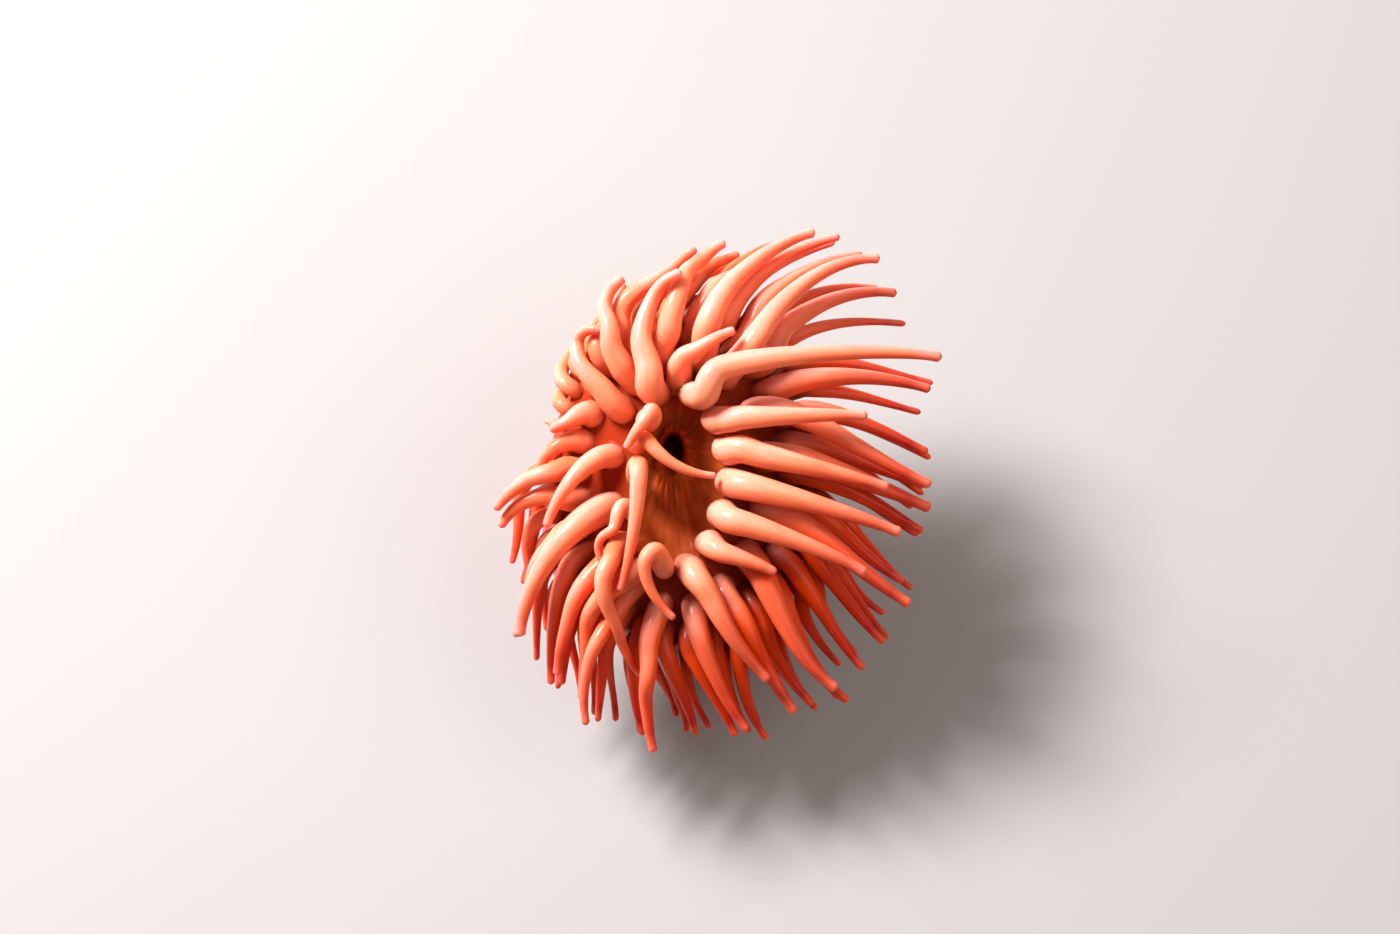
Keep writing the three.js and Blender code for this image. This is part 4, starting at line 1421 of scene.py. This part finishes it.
@dataclass
class Anemone:
    """The whole animal: one skin, and the beads on its collar."""

    layout: TentacleLayout = field(default_factory=TentacleLayout)
    inner_tube: Tube = field(default_factory=Tube)
    outer_tube: Tube = field(default_factory=lambda: Tube(sides=16, rings=34))
    inner_rings: int = 2            # rings that have the finer tube
    body: BodySurface = field(default_factory=BodySurface)
    shade: FleshShade = field(default_factory=FleshShade)
    zones: BodyZones = field(default_factory=BodyZones)
    flesh: AnemoneFlesh = field(default_factory=AnemoneFlesh)
    beads: BeadRing = field(default_factory=BeadRing)

    def build(self) -> None:
        """Lays out the tentacles, then makes and dresses the skin and the beads."""
        self.layout.lay_out()
        self.layout.ease_apart()
        LOG.info("laid out %d tentacles", len(self.layout.tentacles))
        skin = self.make_skin()
        self.mark(skin)
        skin.data.materials.clear()
        skin.data.materials.append(self.flesh.material())
        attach(skin, "root")
        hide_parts(*sorted(frame["nodes"]))
        LOG.info("skin: %d faces", len(skin.data.polygons))
        beads = self.beads.build()
        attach(beads, "root")
        LOG.info("beads: %d faces", len(beads.data.polygons))

    def make_skin(self) -> bpy.types.Object:
        """Unites the body with every tentacle.

        Returns:
            The skin, one closed surface.
        """
        skin = add_object("skin", self.body.mesh())
        tubes = bpy.data.collections.new("tubes")
        bpy.context.scene.collection.children.link(tubes)
        inner, outer = self.inner_tube.template(), self.outer_tube.template()
        for tentacle in self.layout.tentacles:
            if tentacle.ring < self.inner_rings:
                mesh = self.inner_tube.shaped(inner, tentacle)
            else:
                mesh = self.outer_tube.shaped(outer, tentacle)
            tubes.objects.link(bpy.data.objects.new(f"tube_{tentacle.ring}_{tentacle.slot}", mesh))
        join = skin.modifiers.new("join", "BOOLEAN")
        join.operation = "UNION"
        join.operand_type = "COLLECTION"
        join.collection = tubes
        join.solver = "MANIFOLD"
        graph = bpy.context.evaluated_depsgraph_get()
        united = bpy.data.meshes.new_from_object(skin.evaluated_get(graph))
        skin.modifiers.clear()
        skin.data = united
        for piece in list(tubes.objects):
            bpy.data.objects.remove(piece)
        bpy.data.collections.remove(tubes)
        united.shade_smooth()
        return skin

    def mark(self, skin: bpy.types.Object) -> None:
        """Writes the attributes that the flesh reads.

        Args:
            skin: the united skin.
        """
        mesh = skin.data
        count = len(mesh.vertices)
        points = read_vectors(mesh, "co")
        matrix = np.array(crown_matrix().inverted())
        crown = points @ matrix[:3, :3].T + matrix[:3, 3]
        places = TentacleFinder(self.layout.tentacles).find(crown)
        girths = np.array([tentacle.girth for tentacle in self.layout.tentacles])
        rings = np.array([tentacle.ring for tentacle in self.layout.tentacles])
        u, v, w = crown.T
        own = self.zones.own_share * girths[places.owner] + self.zones.own_slack
        on_body = np.abs(places.gap) > own
        on_body |= self.body.on_plate(u, v, w)
        # Painted light: the facing to the main light and the side of the crown set the painted highlight
        # and the painted shade.
        far = self.shade.far(u, v)
        facing = read_vectors(mesh, "normal") @ Studio().key_direction()
        painted_highlight = self.shade.pale(mesh, places.crowd, far, facing)
        painted_shade = self.shade.painted_shade(mesh, rings[places.owner], places.crowd, far, facing, w)
        body = spread(mesh, on_body.astype(float), self.zones.edge_passes)
        column = self.zones.column(w)
        mouth = self.zones.mouth(u, v)
        zone = np.stack([body * (1 - column), body * mouth, body * column, np.ones(count)], axis=1)
        self.write(mesh, "painted_highlight", "FLOAT", painted_highlight)
        self.write(mesh, "between", "FLOAT", self.zones.between(u, v))
        self.write(mesh, "along", "FLOAT", places.share)
        self.write(mesh, "painted_shade", "FLOAT", painted_shade)
        self.write(mesh, "foot_line", "FLOAT", body * self.zones.line(points[:, 2] / MM))
        self.write(mesh, "lie", "FLOAT_VECTOR", self.zones.lie(u, v, places, on_body))
        self.write(mesh, "zone", "FLOAT_COLOR", zone)

    @staticmethod
    def write(mesh: bpy.types.Mesh, name: str, kind: str, values: np.ndarray) -> None:
        """Writes one value for every vertex.

        Args:
            mesh: the mesh.
            name: the attribute's name.
            kind: its type.
            values: one row for each vertex.
        """
        rows = mesh.attributes.new(name, kind, "POINT").data
        key = {"FLOAT": "value", "FLOAT_VECTOR": "vector", "FLOAT_COLOR": "color"}[kind]
        rows.foreach_set(key, np.ascontiguousarray(values, dtype=np.float32).ravel())


@dataclass(frozen=True)
class Lamp:
    """One soft square lamp, with its place against the crown."""

    name: str
    way: tuple[float, float, float]     # towards it: right, up and out
    distance: float
    side: float
    power: float
    colour: tuple[float, float, float]


@dataclass(frozen=True)
class PalePaper:
    """The floor's pale matt paper: it takes soft shadows and hardly shines."""

    colour: str = "#a4a19d"
    roughness: float = 0.9

    def material(self) -> bpy.types.Material:
        """Builds the paper, the same all over."""
        settings = {"Base Color": srgb(self.colour), "Roughness": self.roughness}
        return new_material("pale_matt_paper", settings)[0]


@dataclass
class Studio:
    """A pale floor, soft lights and the camera."""

    distance: float = 390 * MM
    lens: float = 100.0
    sensor: float = 36.0
    nearest: float = 0.01
    look_at: tuple[float, float, float] = (2.2, 1.5, 0.0)
    key: Lamp = Lamp("key", (-0.62, 0.72, 0.55), 0.5, 0.16, 6.9, (1.0, 0.96, 1.0))
    fill: Lamp = Lamp("fill", (0.7, 0.1, 0.8), 0.6, 0.6, 1.9, (1.0, 0.93, 0.9))
    air_colour: tuple[float, float, float, float] = (1.0, 0.95, 0.92, 1)
    air_strength: float = 0.2
    floor_size: float = 1.5
    paper: PalePaper = field(default_factory=PalePaper)

    def axes(self) -> tuple[Vector, Vector, Vector]:
        """Returns the crown's right, up and outward directions in the frame."""
        turn = Matrix.Rotation(math.radians(CROWN_TILT), 3, "X")
        return turn @ Vector((1, 0, 0)), turn @ Vector((0, 1, 0)), turn @ Vector((0, 0, 1))

    def towards(self, lamp: Lamp) -> Vector:
        """Returns the unit vector from the crown towards a lamp, in the frame."""
        right, up, out = self.axes()
        return (right * lamp.way[0] + up * lamp.way[1] + out * lamp.way[2]).normalized()

    def key_direction(self) -> np.ndarray:
        """Returns the unit vector towards the main light, in the frame."""
        return np.array(self.towards(self.key))

    def target(self) -> Vector:
        """Returns the point that the camera looks at, in metres."""
        return crown_matrix() @ Vector(self.look_at)

    def build(self) -> None:
        """Makes the camera, the floor and the lights."""
        right, up, out = self.axes()
        target = self.target()
        camera_data = bpy.data.cameras.new("camera")
        camera_data.lens = self.lens
        camera_data.sensor_width = self.sensor
        camera_data.clip_start = self.nearest
        camera = add_object("camera", camera_data)
        turn = Matrix((right, up, out)).transposed().to_4x4()
        camera.matrix_world = Matrix.Translation(target + out * self.distance) @ turn
        bpy.context.scene.camera = camera
        self.floor()
        self.light(self.key)
        self.light(self.fill)
        world = bpy.data.worlds.new("studio")
        world.use_nodes = True
        background = world.node_tree.nodes["Background"]
        background.inputs["Color"].default_value = self.air_colour
        background.inputs["Strength"].default_value = self.air_strength
        bpy.context.scene.world = world
        bpy.context.scene.view_settings.view_transform = "Standard"

    def light(self, lamp: Lamp) -> None:
        """Adds a lamp that faces the middle of the view.

        Args:
            lamp: the lamp.
        """
        data = bpy.data.lights.new(lamp.name, "AREA")
        data.size = lamp.side
        data.energy = lamp.power
        data.color = lamp.colour
        target = self.target()
        where = target + self.towards(lamp) * lamp.distance
        piece = add_object(lamp.name, data)
        piece.location = where
        piece.rotation_euler = (target - where).to_track_quat("-Z", "Y").to_euler()

    def floor(self) -> None:
        """Makes the pale matt floor."""
        bm = bmesh.new()
        bmesh.ops.create_grid(bm, x_segments=1, y_segments=1, size=self.floor_size)
        mesh = take_mesh(bm, "floor")
        mesh.materials.append(self.paper.material())
        floor = add_object("floor", mesh)


def main() -> None:
    """Builds the studio and the anemone."""
    logging.basicConfig(level=logging.INFO, format="%(name)s: %(message)s")
    Studio().build()
    Anemone().build()


if __name__ == "__main__":
    main()
